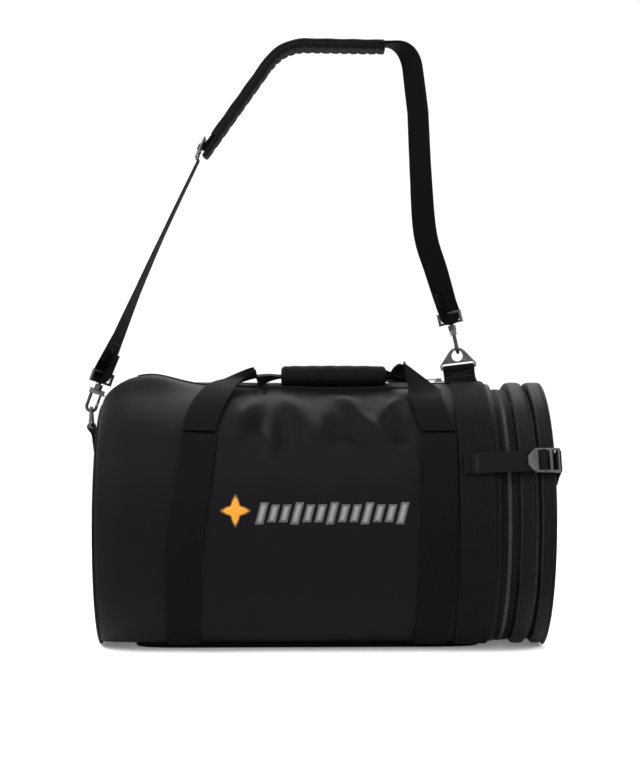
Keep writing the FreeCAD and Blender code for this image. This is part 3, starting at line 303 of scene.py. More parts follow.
def woven(name, dark, light, pitch, depth, rough, ribs=1.0, sheen=0.012, half=0.0, tint=(0.5, 0.52, 0.56)):
    """Woven cloth that follows the sheet: crossing threads, uneven dye, fluff and paler worn edges."""
    made, t, s = finish_of(name)
    s.inputs["Sheen Weight"].default_value = sheen
    s.inputs["Sheen Roughness"].default_value = 0.45
    s.inputs["Sheen Tint"].default_value = (*tint, 1)
    s.inputs["Specular IOR Level"].default_value = 0.055
    flat = t.node("UVMap", uv_map="cloth")
    u = t.node("SeparateXYZ", {"Vector": flat}, out=0)
    v = t.node("SeparateXYZ", {"Vector": flat}, out=1)
    solid = t.node("TexCoord", out=3)
    warp = t.maths("ABSOLUTE", t.maths("SINE", u * (math.pi / pitch)))
    weft = t.maths("ABSOLUTE", t.maths("SINE", v * (math.pi / (pitch * ribs))))
    over = t.maths("GREATER_THAN", t.maths("SINE", u * (math.pi / pitch)) * t.maths("SINE",
        v * (math.pi / (pitch * ribs))), 0.0)
    cloth = warp * over + weft * (1 - over)
    slub = t.node("TexNoise", {"Vector": solid, "Scale": 900.0, "Detail": 2.0})
    mottle = t.node("TexNoise", {"Vector": solid, "Scale": 14.0, "Detail": 5.0, "Roughness": 0.6})
    dust = t.node("TexNoise", {"Vector": solid, "Scale": 130.0, "Detail": 3.0})
    tone = cloth * 0.35 + mottle * 0.45 + slub * 0.25 + dust * 0.15
    if half:
        worn = t.maths("SUBTRACT", t.maths("ABSOLUTE", v), half - 0.0022) * 300
        tone = tone + t.node("Clamp", {"Value": worn}) * (dust * 0.5)
    paint = t.node("ValToRGB", {"Fac": tone}, stops=[(0.25, dark), (0.95, light)])
    lead(paint, s, "Base Color")
    lead(rough + (mottle - 0.5) * 0.25 - cloth * 0.06, s, "Roughness")
    bump = t.node("Bump", {"Height": cloth * 0.8 + slub * 0.3, "Strength": 0.55, "Distance": depth})
    lead(bump, s, "Normal")
    return made


shell_cloth = woven("shell_cloth", (0.0010, 0.0010, 0.0012), (0.0036, 0.0037, 0.0046), 0.0011, 0.0004, 0.52,
                    sheen=0.015)
lining_cloth = woven("lining_cloth", (0.10, 0.10, 0.105), (0.17, 0.17, 0.175), 0.0007, 0.0002, 0.45)
binding_cloth = woven("binding_cloth", (0.0013, 0.0013, 0.0013), (0.0046, 0.0046, 0.0048), 0.0009, 0.0005,
                      0.7, half=0.011)

MOUTH_LEFT, MOUTH_RIGHT, MOUTH_TURN = -0.285, 0.172, 50.0
lines = [-0.338 + 0.0005 * n * n for n in range(10)] + [-0.29]
lines += [MOUTH_LEFT + (MOUTH_RIGHT - MOUTH_LEFT) * n / 104 for n in range(105)]
lines += [MOUTH_RIGHT + (0.2505 - MOUTH_RIGHT) * n / 14 for n in range(1, 15)]
lines += [0.2505 + 0.0115 * n / 8 for n in range(1, 9)]
turns = [180 - 2.5 * n for n in range(33)] + [100 - 1.25 * n for n in range(1,
    160)] + [-100 - 2.5 * n for n in range(33)]


def case_place(along, across):
    return case_at(lines[round(along * (len(lines) - 1))], turns[round(across * (len(turns) - 1))])


case = panel("case_wall", len(lines) - 1, len(turns) - 1, case_place)
bpy.ops.object.mode_set(mode="EDIT")
bpy.ops.mesh.select_all(action="DESELECT")
bpy.ops.mesh.select_mode(type="FACE")
bpy.ops.object.mode_set(mode="OBJECT")
for face in case.data.polygons:
    spot = face.center
    turn = math.degrees(math.atan2(-spot.y, spot.z - CASE_AXIS))
    face.select = MOUTH_LEFT < spot.x < MOUTH_RIGHT and abs(turn) < MOUTH_TURN
bpy.ops.object.mode_set(mode="EDIT")
bpy.ops.mesh.delete(type="FACE")
bpy.ops.object.mode_set(mode="OBJECT")
case.data.materials.append(shell_cloth)
case.data.materials.append(lining_cloth)
case.data.materials.append(binding_cloth)
thicken(case, 0.0136, inside=1, rim=2)
settle(case, "case", "shell_fabric", "case_skin", "case_foam", "case_lining")


# ---- the left end ----
# The closed end is a separate round panel of the same quilted cloth, domed by the foam behind it and sewn to
# the shoulder with a piped seam.
def end_panel(name, x, outward, radius, axis, dome, across=72, rings=14):
    """A domed round end, cut off level underneath, made as a disc of rings about its middle."""
    def place(along, out):
        turn = -2 * math.pi * along * outward
        r = radius * (1 - out)
        puff = dome * (1 - (r / radius) ** 2.6) + 0.0012 * noise.noise(Vector((math.cos(turn) * r * 20,
            math.sin(turn) * r * 20, x * 9)))
        y, z = math.sin(turn) * r, axis + math.cos(turn) * r
        if z < 0.0045:
            y, z = y * 1.0, 0.0045
        return Vector((x + outward * puff, y, z))

    return panel(name, across, rings, place)


left_end = end_panel("left_end_panel", -0.3378, -1, 0.1848, 0.184, 0.0115)
for finish in (shell_cloth, lining_cloth):
    left_end.data.materials.append(finish)
thicken(left_end, 0.0118, inside=1, rim=1)
settle(left_end, "case", "shell_fabric", "left_end_skin", "left_end_foam", "left_end_lining")


# ---- the flaps of the mouth ----
# Two quarter panels of the same padded wall close the mouth. Each is sewn along its lower edge, and a bound
# placket with two rows of stitching runs along its upper edge beside the zip.
def flap_of(side):
    name = "front" if side > 0 else "back"
    fine = 44

    def place(along, across):
        x = MOUTH_LEFT + (MOUTH_RIGHT - MOUTH_LEFT) * along
        turn = side * (3.9 + (MOUTH_TURN - 3.9) * (across if side < 0 else 1 - across))
        return case_at(x, turn)

    made = panel(name + "_flap_wall", 104, fine, place)
    for finish in (shell_cloth, lining_cloth, binding_cloth):
        made.data.materials.append(finish)
    thicken(made, 0.0130, inside=1, rim=2)
    settle(made, name + "_flap", "shell_fabric", name + "_flap_skin", name + "_flap_foam",
           name + "_flap_lining")

    def strip(along, across):
        x = MOUTH_LEFT + 0.002 + (MOUTH_RIGHT - MOUTH_LEFT - 0.004) * along
        turn = side * (3.7 + 7.6 * (across if side < 0 else 1 - across))
        return case_at(x, turn, 0.0016)

    placket = panel(name + "_placket", 110, 6, strip)
    placket.data.materials.append(binding_cloth)
    thicken(placket, 0.0014, offset=-1)
    settle(placket, name + "_flap", "shell_fabric")
    return made


flap_of(1)
flap_of(-1)


# ---- stitching ----
# Bonded nylon thread, black with a little shine. One stitch is a short sunken sausage of thread, and a seam
# is a row of them, three millimetres apart.
thread_nylon, t, s = finish_of("thread_nylon")
s.inputs["Specular IOR Level"].default_value = 0.3
place = t.node("TexCoord", out=3)
strand = t.node("TexNoise", {"Vector": place, "Scale": 700.0, "Detail": 2.0})
lead(t.node("ValToRGB", {"Fac": strand}, stops=[(0.3, (0.004, 0.004, 0.004)), (0.7, (0.022, 0.022, 0.023))]),
     s, "Base Color")
lead(0.38 + strand * 0.2, s, "Roughness")

bpy.ops.mesh.primitive_cylinder_add(vertices=6, radius=0.00042, depth=0.0022, rotation=(0, math.pi / 2, 0))
stitch = alone(bpy.context.object)
bpy.ops.object.transform_apply(rotation=True)
bpy.ops.object.mode_set(mode="EDIT")
bpy.ops.mesh.select_all(action="SELECT")
bpy.ops.mesh.bevel(offset=0.0002, segments=1)
bpy.ops.object.mode_set(mode="OBJECT")


def repeated(name, model, places, finish):
    """Copies of a small model as one mesh, one copy at each place."""
    mesh = model.data
    shape = np.array([v.co for v in mesh.vertices])
    faces = [list(f.vertices) for f in mesh.polygons]
    spots, walls = [], []
    for n, place in enumerate(places):
        turned = np.array(place.to_3x3())
        spots.append(shape @ turned.T + np.array(place.translation))
        walls += [[i + n * len(shape) for i in face] for face in faces]
    made = bpy.data.meshes.new(name)
    made.from_pydata(np.concatenate(spots).tolist(), [], walls)
    item = bpy.data.objects.new(name, made)
    bpy.context.collection.objects.link(item)
    made.materials.append(finish)
    alone(item)
    bpy.ops.object.shade_smooth_by_angle(angle=math.radians(60))
    return item


def seam(line, up, pitch=0.003, sink=0.0001):
    """The places of the stitches along a line of points, each with its outward direction."""
    places, left = [], pitch / 2
    for (a, b), (ua, ub) in zip(zip(line, line[1:]), zip(up, up[1:])):
        run = b - a
        size = run.length
        while left < size:
            ahead = run.normalized()
            out = (ua.lerp(ub, left / size)).normalized()
            out = (out - ahead * out.dot(ahead)).normalized()
            spot = a + ahead * left - out * sink
            turned = Matrix((ahead, out.cross(ahead), out)).transposed().to_4x4()
            turned.translation = spot
            places.append(turned)
            left += pitch
        left -= size
    return places


def case_seam(x0, turn0, x1, turn1, lift, steps=60):
    """Stitches from one place on the case to another."""
    spots, ups = [], []
    for n in range(steps + 1):
        x, turn = x0 + (x1 - x0) * n / steps, turn0 + (turn1 - turn0) * n / steps
        spots.append(case_at(x, turn, lift))
        ups.append(Vector((0, -math.sin(math.radians(turn)), math.cos(math.radians(turn)))))
    return seam(spots, ups)


for side, name in ((1, "front"), (-1, "back")):
    rows = []
    for turn in (4.6, 10.6):
        rows += case_seam(MOUTH_LEFT + 0.004, side * turn, MOUTH_RIGHT - 0.004, side * turn, 0.0017, 100)
    settle(repeated(name + "_placket_seams", stitch, rows, thread_nylon), name + "_flap", "webbing")


# ---- piped seams ----
# A thin cord wrapped in smooth binding is sewn into the seams at the left end, at the case's open rim and
# round the expanding end, and keeps the ends round.
piping_cloth = woven("piping_cloth", (0.0011, 0.0011, 0.0012), (0.0044, 0.0045, 0.0048), 0.0012, 0.0003, 0.5)


def hoop(name, x, radius, axis, thick, low):
    """A round rim of thick radius, cut off level underneath."""
    def place(along, round_it):
        turn, bow = -2 * math.pi * along, 2 * math.pi * round_it
        y, z = math.sin(turn) * radius, axis + math.cos(turn) * radius
        out = Vector((0, math.sin(turn), math.cos(turn)))
        if z < low + thick:
            z, out = low + thick, Vector((0, 0, -1))
        return Vector((x, y, z)) + out * (thick * math.cos(bow)) + Vector((thick * math.sin(bow), 0, 0))

    made = panel(name, 180, 10, place)
    made.data.materials.append(piping_cloth)
    alone(made)
    bpy.ops.object.mode_set(mode="EDIT")
    bpy.ops.mesh.select_all(action="SELECT")
    bpy.ops.mesh.normals_make_consistent(inside=False)
    bpy.ops.object.mode_set(mode="OBJECT")
    bpy.ops.object.shade_smooth()
    return made


left_piping = hoop("left_piping", -0.3385, 0.1862, 0.1842, 0.0023, 0.0016)
settle(left_piping, "case", "piping", "case_pipings")
settle(hoop("rim_piping", 0.2502, 0.2052, CASE_AXIS, 0.0014, 0.0024), "case", "piping")
settle(hoop("end_piping", 0.3412, 0.2050, CASE_AXIS, 0.0022, 0.0016), "end_cap", "piping", "end_piping")


# ---- webbing bands ----
# Fifty-millimetre woven nylon webbing, heavy and ribbed, is sewn down the front and back of the case as the
# root of each handle, and a coarser band goes round the case beside the expanding end.
def webbing(name, dark, light, half, rib=0.0017, depth=0.0007, rough=0.62):
    """Ribbed webbing: rows of picks along the length, each row half a pick off its neighbour."""
    made, t, s = finish_of(name)
    s.inputs["Sheen Weight"].default_value = 0.008
    s.inputs["Sheen Roughness"].default_value = 0.4
    s.inputs["Sheen Tint"].default_value = (0.55, 0.55, 0.55, 1)
    s.inputs["Specular IOR Level"].default_value = 0.03
    flat = t.node("UVMap", uv_map="cloth")
    u = t.node("SeparateXYZ", {"Vector": flat}, out=0)
    v = t.node("SeparateXYZ", {"Vector": flat}, out=1)
    solid = t.node("TexCoord", out=3)
    rows = v / rib
    row = t.maths("FLOOR", rows)
    ridge = t.maths("ABSOLUTE", t.maths("SINE", rows * math.pi))
    pick = t.maths("ABSOLUTE", t.maths("SINE", u * (math.pi / (rib * 1.1)) + row * (math.pi / 2)))
    cloth = ridge * (pick * 0.55 + 0.45)
    fluff = t.node("TexNoise", {"Vector": solid, "Scale": 1100.0, "Detail": 2.0})
    mottle = t.node("TexNoise", {"Vector": solid, "Scale": 22.0, "Detail": 4.0})
    streak = t.node("TexNoise", {"Vector": solid, "Scale": 210.0, "Detail": 2.0})
    worn = t.node("Clamp", {"Value": t.maths("SUBTRACT", t.maths("ABSOLUTE", v), half - 0.0016) * 450})
    tone = cloth * 0.5 + mottle * 0.3 + fluff * 0.2 + streak * 0.15 + worn * 0.3
    lead(t.node("ValToRGB", {"Fac": tone}, stops=[(0.2, dark), (1.1 / 1.2, light)]), s, "Base Color")
    lead(rough + (mottle - 0.5) * 0.2 + worn * 0.12, s, "Roughness")
    lead(t.node("Bump", {"Height": cloth + fluff * 0.25, "Strength": 0.7, "Distance": depth}), s, "Normal")
    return made


web_cloth = webbing("web_cloth", (0.0009, 0.0009, 0.0009), (0.0044, 0.0043, 0.0042), 0.025)
coarse_web = webbing("coarse_web", (0.0010, 0.0010, 0.0010), (0.0063, 0.0062, 0.0060), 0.025, rib=0.0025,
                     depth=0.001)


def band_x(spot, turn):
    """Where a band's middle is along the case: the handles pull its upper end towards the middle."""
    pull = eased((112 - abs(turn)) / 62)
    drift = eased((abs(turn) - 110) / 50)
    if spot == "left":
        return -0.2062 + 0.0222 * pull - 0.002 * drift
    return 0.1680 + 0.0055 * pull - 0.003 * drift


def strip_on_case(name, middle, first, last, width, thick, lift, finish, columns=90, rows=8):
    """Webbing laid on the case from one turn to another, about middle(turn) along it."""
    def place(along, across):
        turn = first + (last - first) * along
        edge = abs(across - 0.5) * 2
        crown = -0.0004 * max(edge - 0.8, 0) / 0.2
        return case_at(middle(turn) + (across - 0.5) * width, turn, lift + thick + crown)

    made = panel(name, columns, rows, place)
    made.data.materials.append(finish)
    return thicken(made, thick)


bands, rows = [], []
for spot in ("left", "right"):
    for side in (1, -1):
        first, last = (156, 51.5) if side > 0 else (-51.5, -156)
        name = f"{spot}_band_{'front' if side > 0 else 'back'}"
        bands.append(strip_on_case(name, lambda turn, spot=spot: band_x(spot, turn), first, last, 0.050,
                                   0.0021, 0.0003, web_cloth))
        for off in (-0.0222, -0.0190, 0.0190, 0.0222):
            line = [case_at(band_x(spot, a) + off, a,
                            0.0024) for a in (side * (52 + 103 * n / 70) for n in range(71))]
            ups = [(p - Vector((p.x, 0, CASE_AXIS))).normalized() for p in line]
            rows += seam(line, ups)
        for turn in (52.2, 53.3):
            middle = band_x(spot, turn)
            rows += case_seam(middle - 0.0222, side * turn, middle + 0.0222, side * turn, 0.0024, 8)
for n, band in enumerate(bands):
    settle(band, "case", "webbing", *(["handle_bands"] if n == 0 else []))
settle(repeated("band_seams", stitch, rows, thread_nylon), "case", "webbing")

anchor = strip_on_case("anchor_band_web", lambda turn: 0.2268, 156, -156, 0.0515, 0.0021, 0.0003, coarse_web,
                       columns=200)
settle(anchor, "case", "webbing", "anchor_band")
rows = case_seam(0.2045, -155, 0.2045, 155, 0.0024, 150) + case_seam(0.2492, -155, 0.2492, 155, 0.0024, 150)
for turn in (33, 37.5):
    for side in (1, -1):
        rows += case_seam(0.2045, side * turn, 0.2492, side * turn, 0.0024, 8)
settle(repeated("anchor_seams", stitch, rows, thread_nylon), "case", "webbing")


# ---- base panel ----
# A tougher flat panel of heavy coated cloth under the case, which it stands on, with rounded corners, a bound
# edge and one row of stitching.
base_cloth = woven("base_cloth", (0.0009, 0.0009, 0.0009), (0.0033, 0.0033, 0.0035), 0.0016, 0.0005, 0.55)
BASE_LOW, BASE_HIGH, BASE_HALF = -0.285, 0.245, 0.078


def base_rim(share, inset):
    """A point on the panel's rounded outline, drawn in by inset."""
    corner, length, width = 0.0195, BASE_HIGH - BASE_LOW, BASE_HALF * 2
    turn = 2 * math.pi * share
    cx, cy = math.cos(turn), math.sin(turn)
    power = 0.16
    reach_x, reach_y = length / 2 - corner, width / 2 - corner
    sx, sy = math.copysign(abs(cx) ** power, cx), math.copysign(abs(cy) ** power, cy)
    grow = min(1 / max(abs(sx), abs(sy)), 1.0)
    out = Vector((cx, cy)).normalized() * (corner - inset)
    return Vector(((BASE_LOW + BASE_HIGH) / 2 + reach_x * sx * grow + out.x, reach_y * sy * grow + out.y))


def base_place(along, out):
    spots = ((0.0195, 0.0006), (0.006, 0.0002), (0.0016, 0.0), (0.0, 0.0012), (0.0, 0.0027), (0.0014, 0.0038),
             (0.0035, 0.0034), (0.0195, 0.0034))
    inset, z = spots[round(out * 7)]
    rim = base_rim(along, min(inset, 0.0194))
    return Vector((rim.x, rim.y, z))


base = panel("base_sheet", 160, 7, base_place)
bpy.ops.object.mode_set(mode="EDIT")
bpy.ops.mesh.select_all(action="SELECT")
bpy.ops.mesh.select_mode(type="EDGE")
bpy.ops.mesh.select_all(action="DESELECT")
bpy.ops.mesh.select_non_manifold()
bpy.ops.mesh.fill_holes(sides=0)
bpy.ops.mesh.select_all(action="SELECT")
bpy.ops.mesh.normals_make_consistent(inside=False)
bpy.ops.object.mode_set(mode="OBJECT")
base.data.materials.append(base_cloth)
bpy.ops.object.shade_smooth_by_angle(angle=math.radians(50))
settle(base, "case", "base_fabric", "base_panel")
line = [Vector((*base_rim(n / 240, 0.006), 0.0004)) for n in range(241)]
settle(repeated("base_seam", stitch, seam(line, [Vector((0, 0, -1))] * 241, sink=0.0003), thread_nylon),
       "case", "webbing")


# ---- expansion zips ----
# Two coil zips go round the case where it expands: grey woven tapes with a nylon coil sewn to the facing
# edges, and a run of stitching that holds each tape to the cloth.
tape_cloth = webbing("tape_cloth", (0.0021, 0.0021, 0.0021), (0.0091, 0.0090, 0.0087), 0.0068, rib=0.0010,
                     depth=0.0003)
coil_nylon, t, s = finish_of("coil_nylon")
s.inputs["Specular IOR Level"].default_value = 0.5
place = t.node("TexCoord", out=3)
cloud = t.node("TexNoise", {"Vector": place, "Scale": 260.0, "Detail": 2.0})
lead(t.node("ValToRGB", {"Fac": cloud}, stops=[(0.3, (0.012, 0.012, 0.012)), (0.75, (0.045, 0.0445, 0.043))]),
     s, "Base Color")
lead(0.35 + cloud * 0.2, s, "Roughness")

bpy.ops.mesh.primitive_cylinder_add(vertices=6, radius=0.00075, depth=0.0034, rotation=(0, math.pi / 2, 0))
tooth = alone(bpy.context.object)
bpy.ops.object.transform_apply(rotation=True)
bpy.ops.object.mode_set(mode="EDIT")
bpy.ops.mesh.select_all(action="SELECT")
bpy.ops.mesh.bevel(offset=0.0004, segments=1)
bpy.ops.object.mode_set(mode="OBJECT")


def round_case(x, radius, turns):
    """Points round the case's axis at turns in radians from the top."""
    return [Vector((x, math.sin(a) * radius, CASE_AXIS + math.cos(a) * radius)) for a in turns]


def ring_tape(name, x0, x1, radius, body, node, teeth_x, phase, seam_x, pitch=0.0025):
    def place(along, across):
        turn = -2 * math.pi * along
        r = radius + 0.001 - 0.0006 * (2 * abs(across - 0.5)) ** 4
        return Vector((x0 + (x1 - x0) * across, -math.sin(turn) * r, CASE_AXIS + math.cos(turn) * r))

    tape = panel(name + "_tape", 220, 5, place)
    tape.data.materials.append(tape_cloth)
    thicken(tape, 0.0009)
    settle(tape, body, "zip_tape", node)
    count, spots = int(2 * math.pi * radius / pitch), []
    for n in range(count):
        turn = 2 * math.pi * (n + phase) / count
        out = Vector((0, math.sin(turn), math.cos(turn)))
        turned = Matrix((Vector((1, 0, 0)), out.cross(Vector((1, 0, 0))), out)).transposed().to_4x4()
        turned.translation = Vector((teeth_x, 0, CASE_AXIS)) + out * (radius + 0.0019)
        spots.append(turned)
    settle(repeated(name + "_coil", tooth, spots, coil_nylon), body, "zip_tape")
    line = round_case(seam_x, radius + 0.001, (2 * math.pi * n / 160 for n in range(161)))
    ups = [(p - Vector((seam_x, 0, CASE_AXIS))).normalized() for p in line]
    settle(repeated(name + "_seam", stitch, seam(line, ups, 0.0034), thread_nylon), body, "webbing")


ring_tape("zip_one_left", 0.2624, 0.2753, 0.194, "case", "zip_one_case_half", 0.2742, 0.0, 0.2668)
ring_tape("zip_one_right", 0.2757, 0.2886, 0.194, "middle_ring", "zip_one_middle_half", 0.2768, 0.5, 0.2842)
ring_tape("zip_two_left", 0.3122, 0.3158, 0.192, "middle_ring", "zip_two_middle_half", 0.3146, 0.0, 0.3128)
ring_tape("zip_two_right", 0.3162, 0.3198, 0.192, "end_cap", "zip_two_end_half", 0.3174, 0.5, 0.3194)


# ---- gussets ----
# Thin pleated nylon sleeves folded behind the two zips let the case grow when a zip is opened round it.
gusset_cloth = woven("gusset_cloth", (0.0009, 0.0009, 0.0009), (0.0035, 0.0035, 0.0037), 0.0008, 0.0002, 0.5)


def pleated(name, x0, x1, pleats, node):
    rows = pleats * 8

    def place(along, across):
        turn = -2 * math.pi * along
        fold = math.cos(2 * math.pi * pleats * across)
        r = 0.1864 + 0.0034 * fold + 0.0004 * math.sin(turn * 23)
        return Vector((x0 + (x1 - x0) * across, -math.sin(turn) * r, CASE_AXIS + math.cos(turn) * r))

    made = panel(name, 160, rows, place)
    made.data.materials.append(gusset_cloth)
    thicken(made, 0.0008, offset=0)
    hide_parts(node)
    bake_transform(made)


pleated("gusset_one_sleeve", 0.2618, 0.2892, 4, "gusset_one")
pleated("gusset_two_sleeve", 0.3116, 0.3204, 2, "gusset_two")


# ---- the expanding rings ----
# Two padded bands of the shell cloth wrapped over foam: the middle one stands between the zips, and the end
# one carries the domed end panel with its piped seam.
def padded_ring(name, x0, x1, depth, swell):
    """A closed padded band round the case: crowned outside, flat inside and cut off level underneath."""
    half, middle = (x1 - x0) / 2, (x0 + x1) / 2
    profile = []
    for n in range(13):
        a = math.pi * n / 12
        c, q = math.cos(a), math.sin(a)
        profile.append((middle - half * math.copysign(abs(c) ** 0.55, c),
                        CASE_RADIUS - 0.0052 + 0.0052 * abs(q) ** 0.6 + swell * q * q))
    profile += [(x1, CASE_RADIUS - depth * 0.6), (x1 - 0.001, CASE_RADIUS - depth),
                (x0 + 0.001, CASE_RADIUS - depth), (x0, CASE_RADIUS - depth * 0.6), profile[0]]

    def place(along, across):
        x, r = profile[round(across * (len(profile) - 1))]
        turn = -2 * math.pi * along
        ripple = 0.0005 * math.sin(turn * 6 + 1.3) + 0.0004 * math.sin(turn * 13)
        r += ripple if r > 0.2 else 0
        y, z = -math.sin(turn) * r, CASE_AXIS + math.cos(turn) * r
        low = 0.0042 + (CASE_RADIUS + swell - min(r, CASE_RADIUS + swell))
        return Vector((x + ripple, y, max(z, low)))

    made = panel(name, 200, len(profile) - 1, place)
    made.data.materials.append(shell_cloth)
    alone(made)
    bpy.ops.object.shade_smooth_by_angle(angle=math.radians(50))
    return made


middle = padded_ring("middle_ring_pad", 0.2892, 0.3119, 0.0130, 0.0008)
settle(middle, "middle_ring", "shell_fabric", "middle_ring_skin", "middle_ring_foam")
end_ring = padded_ring("end_ring_pad", 0.3202, 0.3412, 0.0130, 0.0008)
settle(end_ring, "end_cap", "shell_fabric", "end_ring_skin")
cap = end_panel("end_panel_wall", 0.3408, 1, 0.2045, CASE_AXIS, 0.0118)
for finish in (shell_cloth, lining_cloth):
    cap.data.materials.append(finish)
thicken(cap, 0.0118, inside=1, rim=1)
settle(cap, "end_cap", "shell_fabric", "end_panel_skin", "end_panel_foam", "end_panel_lining")
rows = []
for x, body_name in ((0.2918, "middle_ring"), (0.3092, "middle_ring"), (0.3228, "end_cap"),
                     (0.3386, "end_cap")):
    line = round_case(x, 0.2059, (math.radians(-155 + 310 * n / 160) for n in range(161)))
    rows.append((body_name, seam(line, [(p - Vector((x, 0, CASE_AXIS))).normalized() for p in line], 0.0034)))
settle(repeated("middle_ring_seams", stitch, rows[0][1] + rows[1][1], thread_nylon), "middle_ring", "webbing")
settle(repeated("end_ring_seams", stitch, rows[2][1] + rows[3][1], thread_nylon), "end_cap", "webbing")


# ---- the main zip ----
# A coil zip closes the mouth along the top: one tape is sewn under each placket, the coils mesh on the middle
# line, and a cloth patch covers each end.
for side, name in ((1, "front"), (-1, "back")):
    def tape_place(along, across):
        near, far = 0.08, 3.75
        turn = side * (near + (far - near) * (across if side < 0 else 1 - across))
        return case_at(MOUTH_LEFT + 0.0005 + 0.456 * along, turn, 0.0007)

    tape = panel(name + "_main_tape", 100, 4, tape_place)
    tape.data.materials.append(tape_cloth)
    thicken(tape, 0.0009)
    settle(tape, name + "_flap", "zip_tape", name + "_zip_half")
    spots = []
    for n in range(182):
        x = MOUTH_LEFT + 0.002 + 0.0025 * (n + (0.5 if side > 0 else 0))
        top = case_at(x, 0.0).z
        turned = Matrix(((0, -1, 0), (1, 0, 0), (0, 0, 1))).to_4x4()
        turned.translation = Vector((x, -side * 0.0012, top + 0.0012))
        spots.append(turned)
    settle(repeated(name + "_main_coil", tooth, spots, coil_nylon), name + "_flap", "zip_tape")

ends = []
for label, low, high in (("left", -0.3060, -0.2858), ("right", 0.1728, 0.1962)):
    def patch_place(along, across):
        return case_at(low + (high - low) * along, 3.6 - 7.2 * across, 0.0014)

    patch = panel(label + "_zip_patch", 10, 8, patch_place)
    patch.data.materials.append(binding_cloth)
    thicken(patch, 0.0011)
    ends.append(patch)
settle(ends[0], "case", "shell_fabric", "zip_end_patches")
settle(ends[1], "case", "shell_fabric")
rows = []
for low, high in ((-0.3040, -0.2875), (0.1742, 0.1950)):
    rows += case_seam(low, 3.1, high, 3.1, 0.0014, 6) + case_seam(low, -3.1, high, -3.1, 0.0014, 6)
settle(repeated("zip_patch_seams", stitch, rows, thread_nylon), "case", "webbing")


# ---- metal and plastic fittings ----
# Cast and wire hardware in gunmetal plate, and moulded acetal buckles. Each solid gets rounded edges; the
# plating is rubbed brighter along them.
def refined(node, width, finish, body, slot, flat=1.5):
    """A hard part's solid with its flats joined and its edges rounded, standing for the plain one."""
    made = bpy.data.objects.new(node + "_made", frame["nodes"][node].data.copy())
    bpy.context.collection.objects.link(made)
    made.data.materials.clear()
    made.data.materials.append(finish)
    alone(made)
    bpy.ops.object.mode_set(mode="EDIT")
    bpy.ops.mesh.select_mode(type="VERT")
    bpy.ops.mesh.select_all(action="SELECT")
    bpy.ops.mesh.remove_doubles(threshold=2e-6)
    bpy.ops.mesh.dissolve_limited(angle_limit=math.radians(flat))
    bpy.ops.object.mode_set(mode="OBJECT")
    round_off = made.modifiers.new("round_off", "BEVEL")
    round_off.width, round_off.segments, round_off.limit_method = width, 3, "ANGLE"
    round_off.angle_limit, round_off.use_clamp_overlap = math.radians(34), True
    bpy.ops.object.modifier_apply(modifier="round_off")
    bpy.ops.object.shade_smooth_by_angle(angle=math.radians(38))
    return settle(made, body, slot, node)


gunmetal, t, s = finish_of("gunmetal")
s.inputs["Metallic"].default_value = 1.0
place = t.node("TexCoord", out=3)
cast = t.node("TexNoise", {"Vector": place, "Scale": 420.0, "Detail": 3.0})
haze = t.node("TexNoise", {"Vector": place, "Scale": 70.0, "Detail": 3.0})
edge = t.node("ValToRGB", {"Fac": t.node("NewGeometry", out=7)}, stops=[(0.51, (0, 0, 0)), (0.60, (1, 1, 1))])
plate = t.node("ValToRGB", {"Fac": cast * 0.6 + haze * 0.4},
               stops=[(0.3, (0.030, 0.030, 0.032)), (0.7, (0.075, 0.075, 0.078))])
bare = t.node("Mix", {"Factor": t.maths("MULTIPLY", edge, haze), 6: plate, 7: (0.26, 0.26, 0.27, 1)}, out=2,
              data_type="RGBA")
lead(bare, s, "Base Color")
lead(0.30 + haze * 0.22 + cast * 0.08, s, "Roughness")
lead(t.node("Bump", {"Height": cast, "Strength": 0.25, "Distance": 0.0002}), s, "Normal")

acetal, t, s = finish_of("acetal")
s.inputs["Specular IOR Level"].default_value = 0.5
place = t.node("TexCoord", out=3)
grain = t.node("TexVoronoi", {"Vector": place, "Scale": 1500.0})
haze = t.node("TexNoise", {"Vector": place, "Scale": 45.0, "Detail": 4.0})
edge = t.node("ValToRGB", {"Fac": t.node("NewGeometry", out=7)}, stops=[(0.51, (0, 0, 0)), (0.62, (1, 1, 1))])
skin = t.node("ValToRGB", {"Fac": haze * 0.7 + grain * 0.3},
              stops=[(0.25, (0.014, 0.014, 0.0145)), (0.8, (0.026, 0.026, 0.0265))])
rubbed = t.node("Mix", {"Factor": t.maths("MULTIPLY", edge, haze), 6: skin, 7: (0.075, 0.075, 0.075, 1)},
                out=2, data_type="RGBA")
lead(rubbed, s, "Base Color")
lead(0.42 + haze * 0.2, s, "Roughness")
lead(t.node("Bump", {"Height": grain, "Strength": 0.3, "Distance": 0.00015}), s, "Normal")

for number, pull in (("main_zip", "main_pull"), ("zip_one", "zip_one_pull"), ("zip_two", "zip_two_pull")):
    refined(number + "_slider", 0.0004, gunmetal, number, "zip_metal")
    refined(number + "_puller", 0.0003, gunmetal, pull, "zip_metal")
refined("front_buckle", 0.0006, acetal, "front_lock", "buckle_plastic")
refined("back_buckle", 0.0006, acetal, "back_lock", "buckle_plastic")
refined("strap_adjuster", 0.0006, gunmetal, "adjuster", "hook_metal")
for spot in ("right", "left"):
    refined(spot + "_ring", 0.0007, gunmetal, "strap" if spot == "right" else "case", "hook_metal")
    refined(spot + "_loop", 0.0007, gunmetal, "strap", "hook_metal")
    refined(spot + "_hook", 0.0005, gunmetal, spot + "_snap", "hook_metal")
    refined(spot + "_gate", 0.0003, gunmetal, spot + "_latch", "hook_metal")


# ---- compression straps ----
# A 32 mm web on each side is sewn to the anchor band, runs under a ladder-lock buckle on the end cap, comes
# up over its grip bar and back under its thumb tab, and ends in a hemmed free tail.
strap_cloth = webbing("strap_cloth", (0.0017, 0.0017, 0.0017), (0.0077, 0.0076, 0.0073), 0.016, rib=0.0015,
                      depth=0.0005)
STRAP_TURN = 64.5


